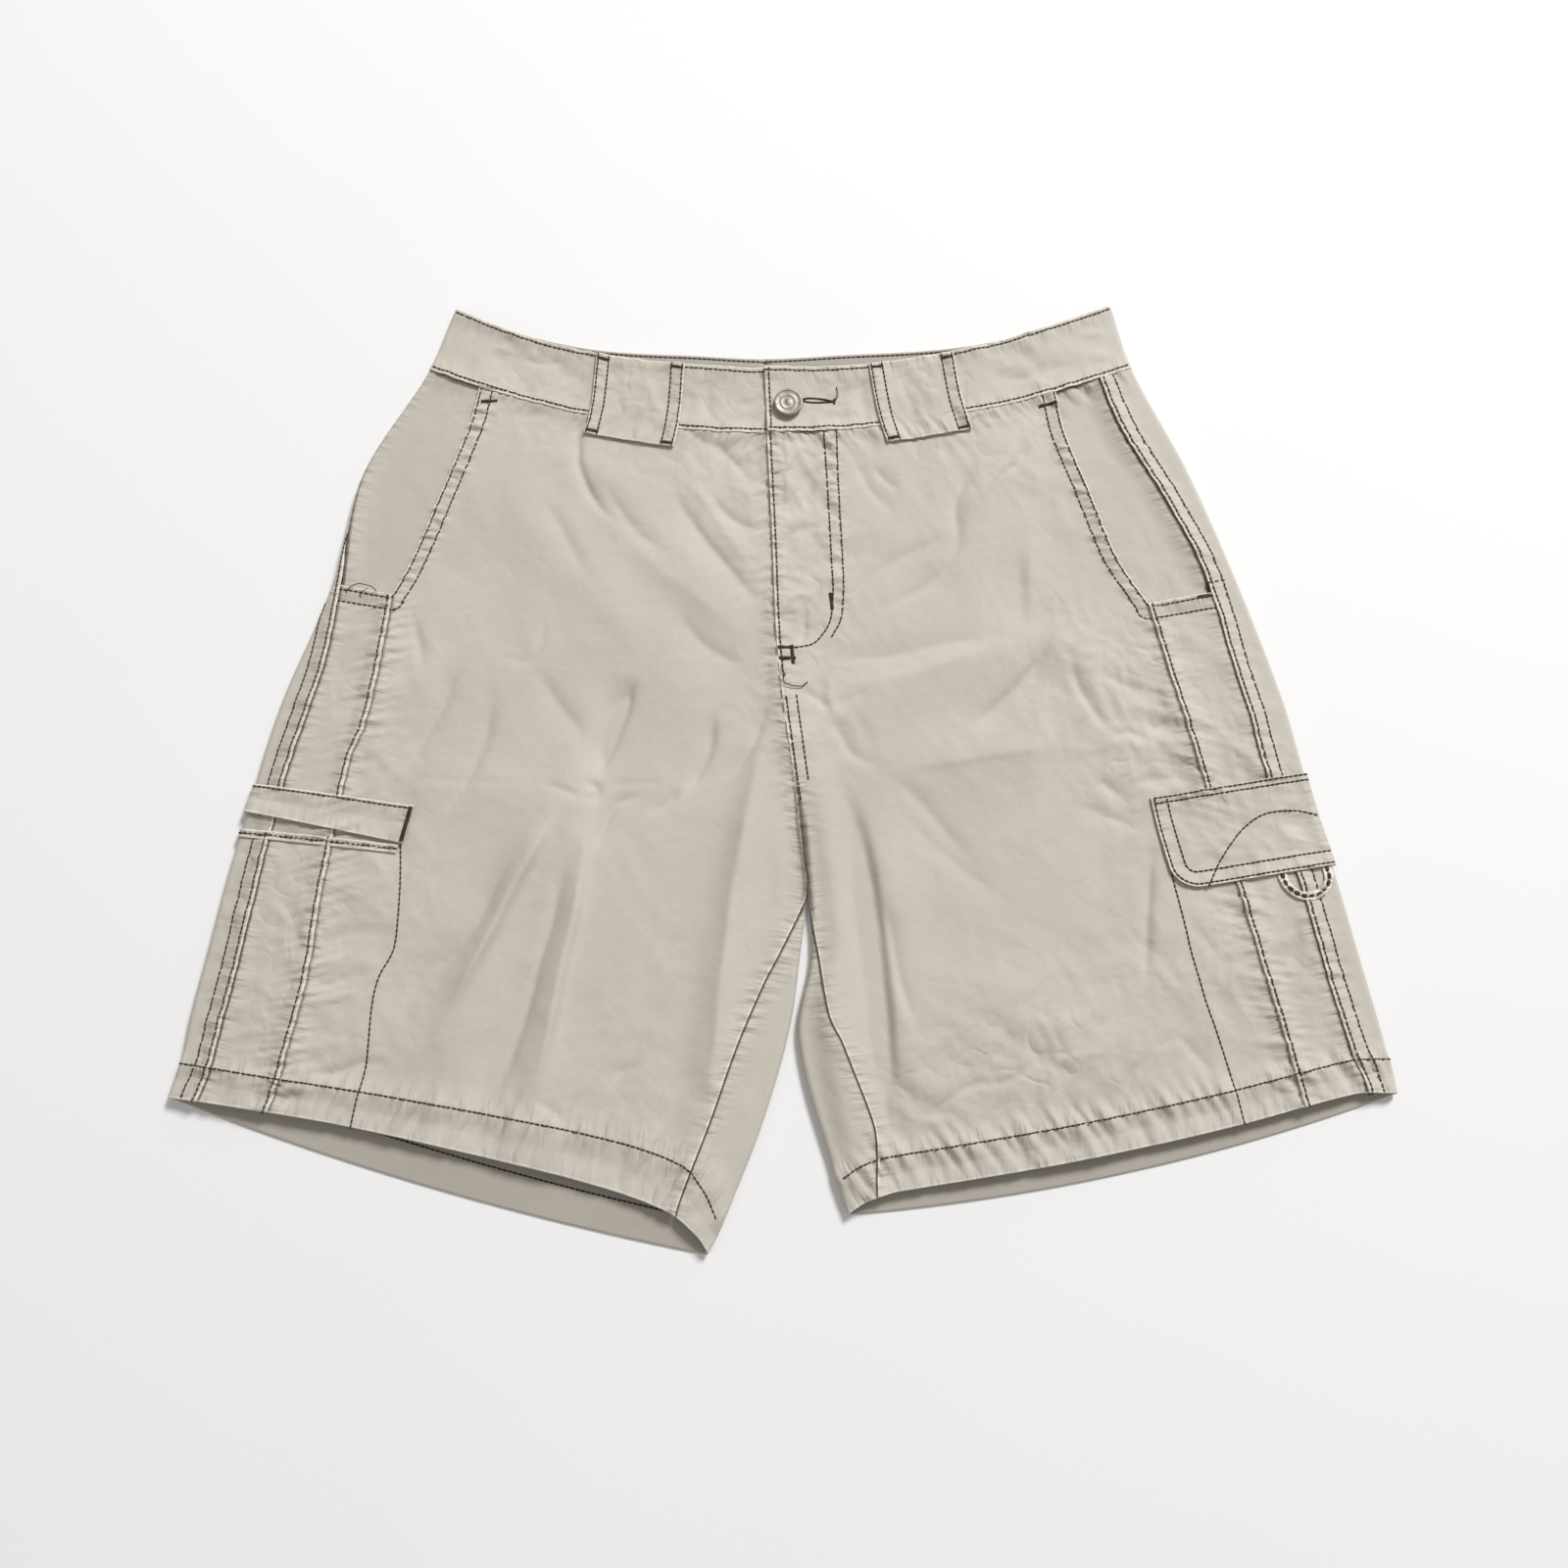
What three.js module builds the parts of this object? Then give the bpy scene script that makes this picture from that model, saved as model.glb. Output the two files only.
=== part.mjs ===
// Cargo shorts laid flat on their back, front side up, in millimetres with +Z up.
// +Y points to the waist and +X to the wearer's left. The origin is on the floor under the middle.
// Cloth is a wall built on one mid surface. A place on it is (across, down): across is measured round
// a section from the outer fold, positive over the top and negative along the underside, and down is
// the row below the waist seam.
import * as THREE from "three";
import { mergeVertices } from "three/addons/utils/BufferGeometryUtils.js";

// Driving sizes.
const CLOTH = 1.2;
const HALF = CLOTH / 2;
const SEAM_GAP = 0.3;
const INSEAM_GAP = 0.4;
const FOLD_RADIUS = 2.3;
const QUARTER_FOLD = (Math.PI / 2) * FOLD_RADIUS;
const HEM_DEPTH = 18.5;
const HEM_EXTRA = 0.5;
const STEP_RUN = 1.5;
const MERGE_WITHIN = 1e-4;
const WAIST_SEAM = 0;
const BAND_TOP = -38;
const CROTCH = 265;
const HEM = 437;
const TURN_START = 185;
const SIDE_PANEL_TOP = 138;

// How the top layer rises from the outer fold, from the inner fold and below the waist seam.
const RISE = { outerRun: 26, innerRun: 20, atWaist: 0.25, waistRun: 45, rest: 1.1 };

// The fly: the left front laps over the right one and is raised over it.
const FLY = {
  lap: 8, lapEnds: [84, 104], lift: CLOTH + 2 * SEAM_GAP, liftEnds: [108, 129], liftRamp: [9, 24],
};

// How many strips each panel has across, and the runs beside its edges that have strips of their own.
const FRONT_GRID = { main: 20, edge: 3, edgeRun: 9 };
const SIDE_GRID = { main: 4 };
const BACK_GRID = {
  fold: 5, flat: 6, bend: 6, end: 2, bendRun: 2 * QUARTER_FOLD + 3.5, bendShare: 0.8, margin: 2,
};
const ROW_GRID = { abovePanel: 6, belowPanel: 14 };

// Each row is one section of a leg: its inner end, on the centre line or inner fold, its outer end on
// the outer fold, and how far its middle bows towards the waist.
const SECTIONS = {
  right: [
    { down: BAND_TOP, innerX: -11, innerY: 224, outerX: -186, outerY: 255, bow: -11 },
    { down: WAIST_SEAM, innerX: -9, innerY: 179, outerX: -199, outerY: 218, bow: -9 },
    { down: 68, innerX: -6, innerY: 118, outerX: -232, outerY: 157, bow: -5 },
    { down: 133, innerX: -3, innerY: 52, outerX: -244, outerY: 95, bow: -2 },
    { down: 200, innerX: 5, innerY: -14, outerX: -266, outerY: 32, bow: 0 },
    { down: 235, innerX: 9.5, innerY: -48, outerX: -274.5, outerY: 1, bow: 0 },
    { down: CROTCH, innerX: 11.7, innerY: -78, outerX: -281, outerY: -30, bow: 0 },
    { down: 300, innerX: 8.5, innerY: -110, outerX: -289, outerY: -65, bow: -1 },
    { down: 342, innerX: 2.5, innerY: -150, outerX: -297, outerY: -108, bow: -2 },
    { down: 385, innerX: -11.5, innerY: -197, outerX: -303, outerY: -140, bow: -4 },
    { down: 417, innerX: -29, innerY: -240, outerX: -306, outerY: -163, bow: -5 },
    { down: HEM, innerX: -38, innerY: -258, outerX: -311, outerY: -182, bow: -6 },
  ],
  left: [
    { down: BAND_TOP, innerX: -11, innerY: 224, outerX: 185, outerY: 257, bow: -11 },
    { down: WAIST_SEAM, innerX: -9, innerY: 179, outerX: 195, outerY: 219, bow: -9 },
    { down: 68, innerX: -6, innerY: 118, outerX: 223, outerY: 157, bow: -5 },
    { down: 133, innerX: -3, innerY: 52, outerX: 246, outerY: 93, bow: -2 },
    { down: 200, innerX: 5, innerY: -14, outerX: 266, outerY: 28, bow: 0 },
    { down: 235, innerX: 9.5, innerY: -48, outerX: 273, outerY: -4, bow: 0 },
    { down: CROTCH, innerX: 12.3, innerY: -78, outerX: 279, outerY: -35, bow: 0 },
    { down: 300, innerX: 14, innerY: -110, outerX: 287, outerY: -67, bow: -1 },
    { down: 342, innerX: 7, innerY: -152, outerX: 295, outerY: -104, bow: -3 },
    { down: 417, innerX: 25, innerY: -220, outerX: 307, outerY: -161, bow: -8 },
    { down: HEM, innerX: 32, innerY: -239, outerX: 310, outerY: -180, bow: -9 },
  ],
};

// Seams and free edges that run down a leg: millimetres from the outer fold at some rows.
const EDGES = {
  right: {
    outseam: [
      { down: -38, from: -1.5 }, { down: 100, from: 0.5 }, { down: SIDE_PANEL_TOP, from: 5 },
      { down: 190, from: 15 }, { down: 260, from: 15.5 }, { down: 300, from: 17 }, { down: 360, from: 18 },
      { down: 410, from: 17 }, { down: 437, from: 15 },
    ],
    sideSeam: [
      { down: SIDE_PANEL_TOP, from: 34 }, { down: 190, from: 45 }, { down: 215, from: 48 },
      { down: 235, from: 46 }, { down: 300, from: 50.5 },
      { down: 350, from: 54.5 }, { down: 390, from: 53.5 },
      { down: 437, from: 51 },
    ],
    pocketMouth: [
      { down: 0, from: 31 }, { down: 33, from: 41 }, { down: 62, from: 46 },
      { down: 87, from: 45 }, { down: 112, from: 40 }, { down: SIDE_PANEL_TOP, from: 34 },
    ],
    inseam: [
      { down: CROTCH, from: 0 }, { down: 300, from: 11 }, { down: 320, from: 18 }, { down: 345, from: 24 },
      { down: 370, from: 26 }, { down: 415, from: 25 }, { down: 437, from: 19 },
    ],
  },
  left: {
    outseam: [
      { down: -38, from: 19 }, { down: 0, from: 20 }, { down: 40, from: 23 }, { down: 80, from: 19.5 },
      { down: 115, from: 16 }, { down: 140, from: 16.5 },
      { down: 190, from: 20.5 }, { down: 340, from: 20 },
      { down: 400, from: 19 }, { down: 437, from: 15 },
    ],
    sideSeam: [
      { down: SIDE_PANEL_TOP, from: 52 }, { down: 200, from: 55 },
      { down: 260, from: 53 }, { down: 437, from: 49 },
    ],
    pocketMouth: [
      { down: 0, from: 46 }, { down: 35, from: 54 }, { down: 85, from: 58 },
      { down: 110, from: 58 }, { down: SIDE_PANEL_TOP, from: 52 },
    ],
    inseam: [
      { down: CROTCH, from: 0 }, { down: 300, from: 4 }, { down: 332, from: 16 }, { down: 350, from: 23 },
      { down: 390, from: 27.5 }, { down: 410, from: 24 }, { down: 437, from: 15 },
    ],
  },
};

// Rows that a cut edge reaches, at shares of the way from the outer to the inner fold.
const CUTS = {
  right: {
    frontHem: [
      { share: 0, down: 437 }, { share: 0.1, down: 431 },
      { share: 0.3, down: 422 }, { share: 0.5, down: 417.5 },
      { share: 0.75, down: 416 }, { share: 0.92, down: 420 },
      { share: 0.97, down: 428 }, { share: 1, down: 437 },
    ],
    frontTop: [
      { share: 0, down: -38 }, { share: 0.25, down: -36 },
      { share: 0.7, down: -35.5 }, { share: 1, down: -33 },
    ],
    backTop: [
      { share: 0, down: -38 }, { share: 0.4, down: -39 },
      { share: 0.75, down: -42 }, { share: 1, down: -39.5 },
    ],
  },
  left: {
    frontHem: [
      { share: 0, down: 437 }, { share: 0.08, down: 430 },
      { share: 0.3, down: 428 }, { share: 0.6, down: 427 },
      { share: 0.9, down: 428 }, { share: 0.96, down: 431 }, { share: 1, down: 437 },
    ],
    frontTop: [
      { share: 0, down: -38 }, { share: 0.2, down: -37.5 },
      { share: 0.5, down: -35.5 }, { share: 1, down: -33 },
    ],
    backTop: [
      { share: 0, down: -38 }, { share: 0.4, down: -39 },
      { share: 0.75, down: -42 }, { share: 1, down: -39.5 },
    ],
  },
};

// The largest folds of the front: a ridge or, with a negative height, a trough along a line.
const FOLDS = [
  { fromX: -121, fromY: -28, toX: -178, toY: -172, width: 11, height: 3.4 },
  { fromX: -114, fromY: -60, toX: -160, toY: -200, width: 9, height: -1.6 },
  { fromX: -105, fromY: 10, toX: -132, toY: -205, width: 12, height: 3.6 },
  { fromX: -5, fromY: 14, toX: -34, toY: -128, width: 12, height: 3.4 },
  { fromX: -33, fromY: -110, toX: -47, toY: -225, width: 9, height: 3.0 },
  { fromX: -120, fromY: 178, toX: -14, toY: 62, width: 17, height: 2.4 },
  { fromX: -150, fromY: 150, toX: -40, toY: 10, width: 20, height: 2.2 },
  { fromX: -200, fromY: -18, toX: -92, toY: -28, width: 14, height: 1.6 },
  { fromX: 14, fromY: 44, toX: 44, toY: -100, width: 12, height: 3.6 },
  { fromX: 42, fromY: -84, toX: 52, toY: -216, width: 10, height: 3.8 },
  { fromX: 24, fromY: 16, toX: 140, toY: 62, width: 15, height: 2.6 },
  { fromX: 50, fromY: -12, toX: 150, toY: -2, width: 16, height: 1.9 },
  { fromX: 84, fromY: 96, toX: 132, toY: 184, width: 16, height: 2.2 },
  { fromX: 150, fromY: 70, toX: 178, toY: -10, width: 14, height: 2.0 },
  { fromX: 90, fromY: -120, toX: 182, toY: -178, width: 20, height: 2.2 },
];
const FOLD_ENDS = { startFrom: -0.12, startTo: 0.22, endFrom: 0.78, endTo: 1.12 };

// Pockets, loops and trimmings.
const CARGO_BAND = {
  topOuter: 255.5, topInner: 253.5, bottomOuter: 270.3, bottomInner: 273.6,
  reach: 86.5, thick: 1.0, off: HALF + SEAM_GAP, gape: 0.9,
};
const CARGO_LIP = {
  topOuter: 279, topInner: 274.4, bottomOuter: 283.5, bottomInner: 279,
  reach: 84, thick: 0.8, off: HALF + SEAM_GAP, gape: 0,
};
const CARGO_FLAP = { top: 245, bottom: 296, reach: 85, corner: 14, thick: 1.2, off: 1.0, gape: 0.7 };
const TRIM_GRID = { fold: 5, strip: 8, flap: 14, flapRows: 5, pastFold: -0.9 };
const PULL_LOOP = {
  across: 18.5, down: 299, radius: 12, tape: 4.2, legTop: 296.4, thick: 1.2, off: 0.95, legs: 4, turns: 16,
};
const FACING = {
  thick: 1.0, drop: 1.45, dropRun: 14, besideSeam: 0.4, under: 8,
  tuck: 6, columns: 7, stepFrom: 9, stepTo: 3,
};
const WAISTBAND = {
  above: 0.9, below: 0.8, inside: 1.4, flyLift: 2.0, flyFlat: 26,
  flyRamp: [11, 44], fly: 3, front: 9, rows: 3,
};
const BELT_LOOP = {
  right: { top: -34.8, bottom: 14, outerTop: 86, innerTop: 136, outerBottom: 99, innerBottom: 149.5 },
  left: { top: -34.3, bottom: 12.5, outerTop: 95, innerTop: 143, outerBottom: 99.5, innerBottom: 147.5 },
};
const LOOP_THICK = 1.2;
const LOOP_GRID = 6;
const BUTTON = {
  fromCentre: 12, down: -14, gap: 0.4, sides: 32,
  shank: 4.2, shankTop: 1.0, radius: 8, edgeRadius: 7.1, edgeBase: 1.8, edgeTop: 2.7,
  rimOuter: 7.4, rimInner: 6.6, top: 3.4, dishRadius: 5.8,
  dish: 2.5, bossBase: 2.6, bossRadius: 2.0, boss: 3.1,
};

const clamp01 = (t) => Math.min(1, Math.max(0, t));
const mix = (a, b, t) => a + (b - a) * t;
const smooth = (from, to, x) => {
  const t = clamp01((x - from) / (to - from));
  return t * t * (3 - 2 * t);
};
const spread = (from, to, count) => Array.from({ length: count + 1 }, (_, i) => mix(from, to, i / count));

// A smooth curve through a table's rows, from one named column to another.
function curveThrough(rows, key, column) {
  const slope = (i) => {
    const a = rows[Math.max(0, i - 1)];
    const b = rows[Math.min(rows.length - 1, i + 1)];
    return (b[column] - a[column]) / (b[key] - a[key]);
  };
  return (x) => {
    let i = 0;
    while (i < rows.length - 2 && x > rows[i + 1][key]) i++;
    const a = rows[i];
    const b = rows[i + 1];
    const run = b[key] - a[key];
    if (x < rows[0][key]) return a[column] + (x - a[key]) * slope(0);
    if (x > rows.at(-1)[key]) return b[column] + (x - b[key]) * slope(rows.length - 1);
    const t = (x - a[key]) / run;
    const t2 = t * t;
    const t3 = t2 * t;
    return (
      (2 * t3 - 3 * t2 + 1) * a[column] + (t3 - 2 * t2 + t) * run * slope(i) +
      (3 * t2 - 2 * t3) * b[column] + (t3 - t2) * run * slope(i + 1)
    );
  };
}

// Height that the folds add to the top layer at a place in plan.
function foldHeight(x, y) {
  let height = RISE.rest;
  const { startFrom, startTo, endFrom, endTo } = FOLD_ENDS;
  for (const fold of FOLDS) {
    const dx = fold.toX - fold.fromX;
    const dy = fold.toY - fold.fromY;
    const length = Math.hypot(dx, dy);
    const along = ((x - fold.fromX) * dx + (y - fold.fromY) * dy) / (length * length);
    const aside = ((x - fold.fromX) * dy - (y - fold.fromY) * dx) / length;
    const ends = smooth(startFrom, startTo, along) * (1 - smooth(endFrom, endTo, along));
    height += fold.height * ends * Math.exp(-((aside / fold.width) ** 2));
  }
  return height;
}

// One half of the shorts: its sections, seams and the mid surface that all its cloth is built on.
function makeHalf(name) {
  const column = (key) => curveThrough(SECTIONS[name], "down", key);
  const innerX = column("innerX");
  const innerY = column("innerY");
  const outerX = column("outerX");
  const outerY = column("outerY");
  const bow = column("bow");
  const seams = {};
  for (const key of Object.keys(EDGES[name])) seams[key] = curveThrough(EDGES[name][key], "down", "from");
  const cuts = {};
  for (const key of Object.keys(CUTS[name])) cuts[key] = curveThrough(CUTS[name][key], "share", "down");

  const section = (down) => {
    const outer = new THREE.Vector2(outerX(down), outerY(down));
    const inward = new THREE.Vector2(innerX(down), innerY(down)).sub(outer);
    const turn = (Math.PI / 2) * smooth(TURN_START, CROTCH, down);
    const width = inward.length() - HALF - (HALF + SEAM_GAP / 2) * Math.sin(turn);
    inward.normalize();
    outer.addScaledVector(inward, HALF);
    const up = new THREE.Vector2(-inward.y, inward.x);
    if (up.y < 0) up.negate();
    const flat = width - FOLD_RADIUS - FOLD_RADIUS * Math.sin(turn);
    return { outer, inward, up, width, turn, flat, length: QUARTER_FOLD + flat + FOLD_RADIUS * turn };
  };
  const length = (down) => section(down).length;

  // The mid surface's point and outward normal at a place.
  const at = (across, down) => {
    const s = section(down);
    if (down > CROTCH && across < -s.length) across += 2 * s.length;
    const side = across < 0 ? -1 : 1;
    const run = Math.abs(across);
    let inset;
    let level = FOLD_RADIUS;
    let tilt = new THREE.Vector2(0, 1);
    if (run < QUARTER_FOLD) {
      const angle = run / FOLD_RADIUS;
      inset = FOLD_RADIUS * (1 - Math.cos(angle));
      level = FOLD_RADIUS * Math.sin(angle);
      tilt = new THREE.Vector2(-Math.cos(angle), Math.sin(angle));
    } else if (run < QUARTER_FOLD + s.flat) {
      inset = FOLD_RADIUS + run - QUARTER_FOLD;
    } else {
      const angle = Math.min((run - QUARTER_FOLD - s.flat) / FOLD_RADIUS, s.turn);
      const past = run - s.length;
      inset = s.width - FOLD_RADIUS * (Math.sin(s.turn) - Math.sin(angle)) + Math.max(0, past);
      level = FOLD_RADIUS * Math.cos(angle);
      tilt = new THREE.Vector2(Math.sin(angle), Math.cos(angle));
    }
    const share = inset / s.width;
    const plan = s.outer.clone().addScaledVector(s.inward, inset);
    plan.addScaledVector(s.up, bow(down) * 4 * share * (1 - share));
    let lift = 0;
    if (side > 0) {
      const fromOuter = smooth(0, RISE.outerRun, run - QUARTER_FOLD);
      const fromInner = smooth(0, RISE.innerRun, QUARTER_FOLD + s.flat - run);
      const waist = mix(RISE.atWaist, 1, smooth(0, RISE.waistRun, down));
      lift = foldHeight(plan.x, plan.y) * fromOuter * mix(1, fromInner, s.turn / (Math.PI / 2)) * waist;
    }
    return {
      point: new THREE.Vector3(plan.x, plan.y, HALF + FOLD_RADIUS + side * level + lift),
      normal: new THREE.Vector3(s.inward.x * tilt.x, s.inward.y * tilt.x, side * tilt.y),
    };
  };
  return { name, seams, cuts, length, at };
}

// A closed wall over a grid of places. place(i, j) gives (across, down), and outer and inner give how
// far the two faces lie from the mid surface there.
function wall(half, columns, rows, place, outer, inner) {
  const vertices = [];
  const faces = [];
  const index = (layer, i, j) => (layer * (columns + 1) + i) * (rows + 1) + j;
  for (const offset of [outer, inner]) {
    for (let i = 0; i <= columns; i++) {
      for (let j = 0; j <= rows; j++) {
        const [across, down] = place(i, j);
        const { point, normal } = half.at(across, down);
        point.addScaledVector(normal, offset(across, down));
        vertices.push(point.x, point.y, point.z);
      }
    }
  }
  const quad = (a, b, c, d) => faces.push(a, b, c, a, c, d);
  for (let i = 0; i < columns; i++) {
    for (let j = 0; j < rows; j++) {
      quad(index(0, i, j), index(0, i + 1, j), index(0, i + 1, j + 1), index(0, i, j + 1));
      quad(index(1, i, j), index(1, i, j + 1), index(1, i + 1, j + 1), index(1, i + 1, j));
    }
    quad(index(1, i, 0), index(1, i + 1, 0), index(0, i + 1, 0), index(0, i, 0));
    quad(index(0, i, rows), index(0, i + 1, rows), index(1, i + 1, rows), index(1, i, rows));
  }
  for (let j = 0; j < rows; j++) {
    quad(index(0, 0, j), index(0, 0, j + 1), index(1, 0, j + 1), index(1, 0, j));
    quad(index(1, columns, j), index(1, columns, j + 1), index(0, columns, j + 1), index(0, columns, j));
  }
  let geometry = new THREE.BufferGeometry();
  geometry.setAttribute("position", new THREE.Float32BufferAttribute(vertices, 3));
  geometry.setIndex(faces);
  geometry = mergeVertices(geometry, MERGE_WITHIN);
  if (signedVolume(geometry) < 0) geometry.index.array.reverse();
  geometry.computeVertexNormals();
  return geometry;
}

function signedVolume(geometry) {
  const p = geometry.getAttribute("position");
  const a = new THREE.Vector3();
  const b = new THREE.Vector3();
  const c = new THREE.Vector3();
  let sum = 0;
  for (let k = 0; k < geometry.index.count; k += 3) {
    a.fromBufferAttribute(p, geometry.index.getX(k));
    b.fromBufferAttribute(p, geometry.index.getX(k + 1));
    c.fromBufferAttribute(p, geometry.index.getX(k + 2));
    sum += a.dot(b.cross(c));
  }
  return sum / 6;
}

// A panel given by the places across each row and down each column.
function panel(half, acrossAt, downAt, outer, inner) {
  const columns = acrossAt(CROTCH).length - 1;
  const rows = downAt(0).length - 1;
  const place = (i, j) => {
    const down = downAt(i)[j];
    return [acrossAt(down)[i], down];
  };
  return wall(half, columns, rows, place, outer, inner);
}

// Rows above the side panel's top, the same for all panels so that their seams match.
const ROWS_ABOVE_PANEL = spread(WAIST_SEAM + SEAM_GAP, SIDE_PANEL_TOP, ROW_GRID.abovePanel).slice(0, -1);

// Rows from the side panel's top to a hem, with one close pair where the turned hem begins.
const rowsToHem = (hem) => [
  ...spread(SIDE_PANEL_TOP, hem - HEM_DEPTH - STEP_RUN, ROW_GRID.belowPanel),
  hem - HEM_DEPTH,
  hem,
];

// The row of the hem's edge at a distance round the section.
function hemRow(half, across) {
  const length = half.length(HEM);
  const wrapped = across < -length ? across + 2 * length : across;
  return wrapped < 0 ? HEM : half.cuts.frontHem(clamp01(wrapped / length));
}

// Places across the flat of the underside, the same for the back and the waistband.
const undersideEnd = (half, down) => QUARTER_FOLD + BACK_GRID.margin - half.length(down);
const underside = (half, down) => spread(-QUARTER_FOLD, undersideEnd(half, down), BACK_GRID.flat);

// How much thicker a turned hem is on the side named.
function hemExtra(half, across, down) {
  return HEM_EXTRA * smooth(-STEP_RUN, 0, down - (hemRow(half, across) - HEM_DEPTH));
}

const cloth = new THREE.MeshStandardMaterial({ color: 0xb9b2a2, roughness: 0.9, metalness: 0 });
const facingCloth = new THREE.MeshStandardMaterial({ color: 0xb2ab9b, roughness: 0.92, metalness: 0 });
const tapeCloth = new THREE.MeshStandardMaterial({ color: 0xcfc8b6, roughness: 0.85, metalness: 0 });
const nickel = new THREE.MeshStandardMaterial({ color: 0xb4aea0, roughness: 0.35, metalness: 0.9 });

const shorts = new THREE.Group();
function add(name, geometry, material = cloth) {
  const mesh = new THREE.Mesh(geometry, material);
  mesh.name = name;
  shorts.add(mesh);
  return mesh;
}

// The main front, from the pocket mouth and side seam to the centre front and inseam.
function front(half) {
  const onTop = half.name === "left";
  const outerEdge = (down) =>
    (down < SIDE_PANEL_TOP ? half.seams.pocketMouth(down) : half.seams.sideSeam(down)) + SEAM_GAP / 2;
  const underlap = (down) => (onTop ? 0 : FLY.lap * (1 - smooth(...FLY.lapEnds, down)));
  const innerEdge = (down) => {
    const inseam = down > CROTCH ? half.seams.inseam(down) : 0;
    return half.length(down) - inseam - INSEAM_GAP / 2 + underlap(down);
  };
  const across = (down) => {
    const inner = innerEdge(down);
    const nearInner = inner - FRONT_GRID.edgeRun - underlap(down);
    return [
      ...spread(outerEdge(down), nearInner, FRONT_GRID.main),
      ...spread(nearInner, inner, FRONT_GRID.edge).slice(1),
    ];
  };
  const downs = (i) => [...ROWS_ABOVE_PANEL, ...rowsToHem(hemRow(half, across(HEM)[i]))];
  const flyLift = (a, down) => {
    if (!onTop) return 0;
    const fromCentre = half.length(down) - a;
    return FLY.lift * (1 - smooth(...FLY.liftEnds, down)) * (1 - smooth(...FLY.liftRamp, fromCentre));
  };
  return panel(
    half, across, downs,
    (a, down) => HALF + flyLift(a, down) + hemExtra(half, a, down),
    (a, down) => -HALF + flyLift(a, down) - hemExtra(half, a, down),
  );
}

// The narrow panel between the front and the outseam, below the front pocket.
function sidePanel(half) {
  const across = (down) =>
    spread(
      half.seams.outseam(down) + SEAM_GAP / 2,
      half.seams.sideSeam(down) - SEAM_GAP / 2,
      SIDE_GRID.main,
    );
  const downs = (i) => rowsToHem(hemRow(half, across(HEM)[i]));
  return panel(
    half, across, downs,
    (a, down) => HALF + hemExtra(half, a, down),
    (a, down) => -HALF - hemExtra(half, a, down),
  );
}

// The back, from the outseam round the outer fold, along the underside and up to the inseam.
function back(half) {
  const across = (down) => {
    const length = half.length(down);
    const end = -(length + (down > CROTCH ? half.seams.inseam(down) : 0)) + INSEAM_GAP / 2;
    const bendStart = undersideEnd(half, down);
    const bendEnd = bendStart - Math.min((bendStart - end) * BACK_GRID.bendShare, BACK_GRID.bendRun);
    const top = half.seams.outseam(down) - SEAM_GAP / 2;
    const foldTop = Math.min(QUARTER_FOLD, top - HALF);
    return [
      top,
      ...spread(foldTop, -QUARTER_FOLD, BACK_GRID.fold),
      ...underside(half, down).slice(1),
      ...spread(bendStart, bendEnd, BACK_GRID.bend).slice(1),
      ...spread(bendEnd, end, BACK_GRID.end).slice(1),
    ];
  };
  const downs = (i) => [...ROWS_ABOVE_PANEL, ...rowsToHem(hemRow(half, across(HEM)[i]))];
  return panel(half, across, downs, () => HALF, (a, down) => -HALF - hemExtra(half, a, down));
}

// The cloth seen inside the front pocket's mouth. It tucks under the front and the side panel.
function pocketFacing(half) {
  const across = (down) =>
    spread(
      half.seams.outseam(down) + FACING.besideSeam,
      half.seams.pocketMouth(down) + FACING.under,
      FACING.columns,
    );
  const stepFrom = SIDE_PANEL_TOP - FACING.stepFrom;
  const stepTo = SIDE_PANEL_TOP - FACING.stepTo;
  const downs = () => [...ROWS_ABOVE_PANEL, stepFrom, stepTo, SIDE_PANEL_TOP + FACING.tuck];
  const drop = (a, down) => {
    const fromSeam = smooth(0, FACING.dropRun, a - half.seams.outseam(down));
    return FACING.drop * Math.max(fromSeam, smooth(stepFrom, stepTo, down));
  };
  return panel(
    half, across, downs,
    (a, down) => FACING.thick / 2 - drop(a, down),
    (a, down) => -FACING.thick / 2 - drop(a, down),
  );
}

// Half of the waistband, from the centre front round the outer fold to the centre back.
function waistband(half) {
  const onTop = half.name === "left";
  const across = (down) => {
    const end = half.length(down);
    const inner = end + (onTop ? -SEAM_GAP / 2 : FLY.lap);
    return [
      ...spread(inner, end - WAISTBAND.flyFlat, WAISTBAND.fly),
      ...spread(end - WAISTBAND.flyFlat, QUARTER_FOLD, WAISTBAND.front).slice(1),
      ...spread(QUARTER_FOLD, -QUARTER_FOLD, BACK_GRID.fold).slice(1),
      ...underside(half, down).slice(1),
      -end + SEAM_GAP / 2,
    ];
  };
  const topRow = (i) => {
    const a = across(BAND_TOP)[i];
    const share = clamp01(Math.abs(a) / half.length(BAND_TOP));
    return a < 0 ? half.cuts.backTop(share) : half.cuts.frontTop(share);
  };
  const lift = (a, down) => {
    const fromCentre = half.length(down) - a;
    return onTop ? WAISTBAND.flyLift * (1 - smooth(...WAISTBAND.flyRamp, fromCentre)) : 0;
  };
  const side = (a) => smooth(-QUARTER_FOLD, QUARTER_FOLD, a);
  return panel(
    half, across, (i) => spread(topRow(i), WAIST_SEAM, WAISTBAND.rows),
    (a, down) => mix(HALF, WAISTBAND.above, side(a)) + lift(a, down),
    (a, down) => mix(-WAISTBAND.inside, -WAISTBAND.below, side(a)) + lift(a, down),
  );
}

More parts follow.
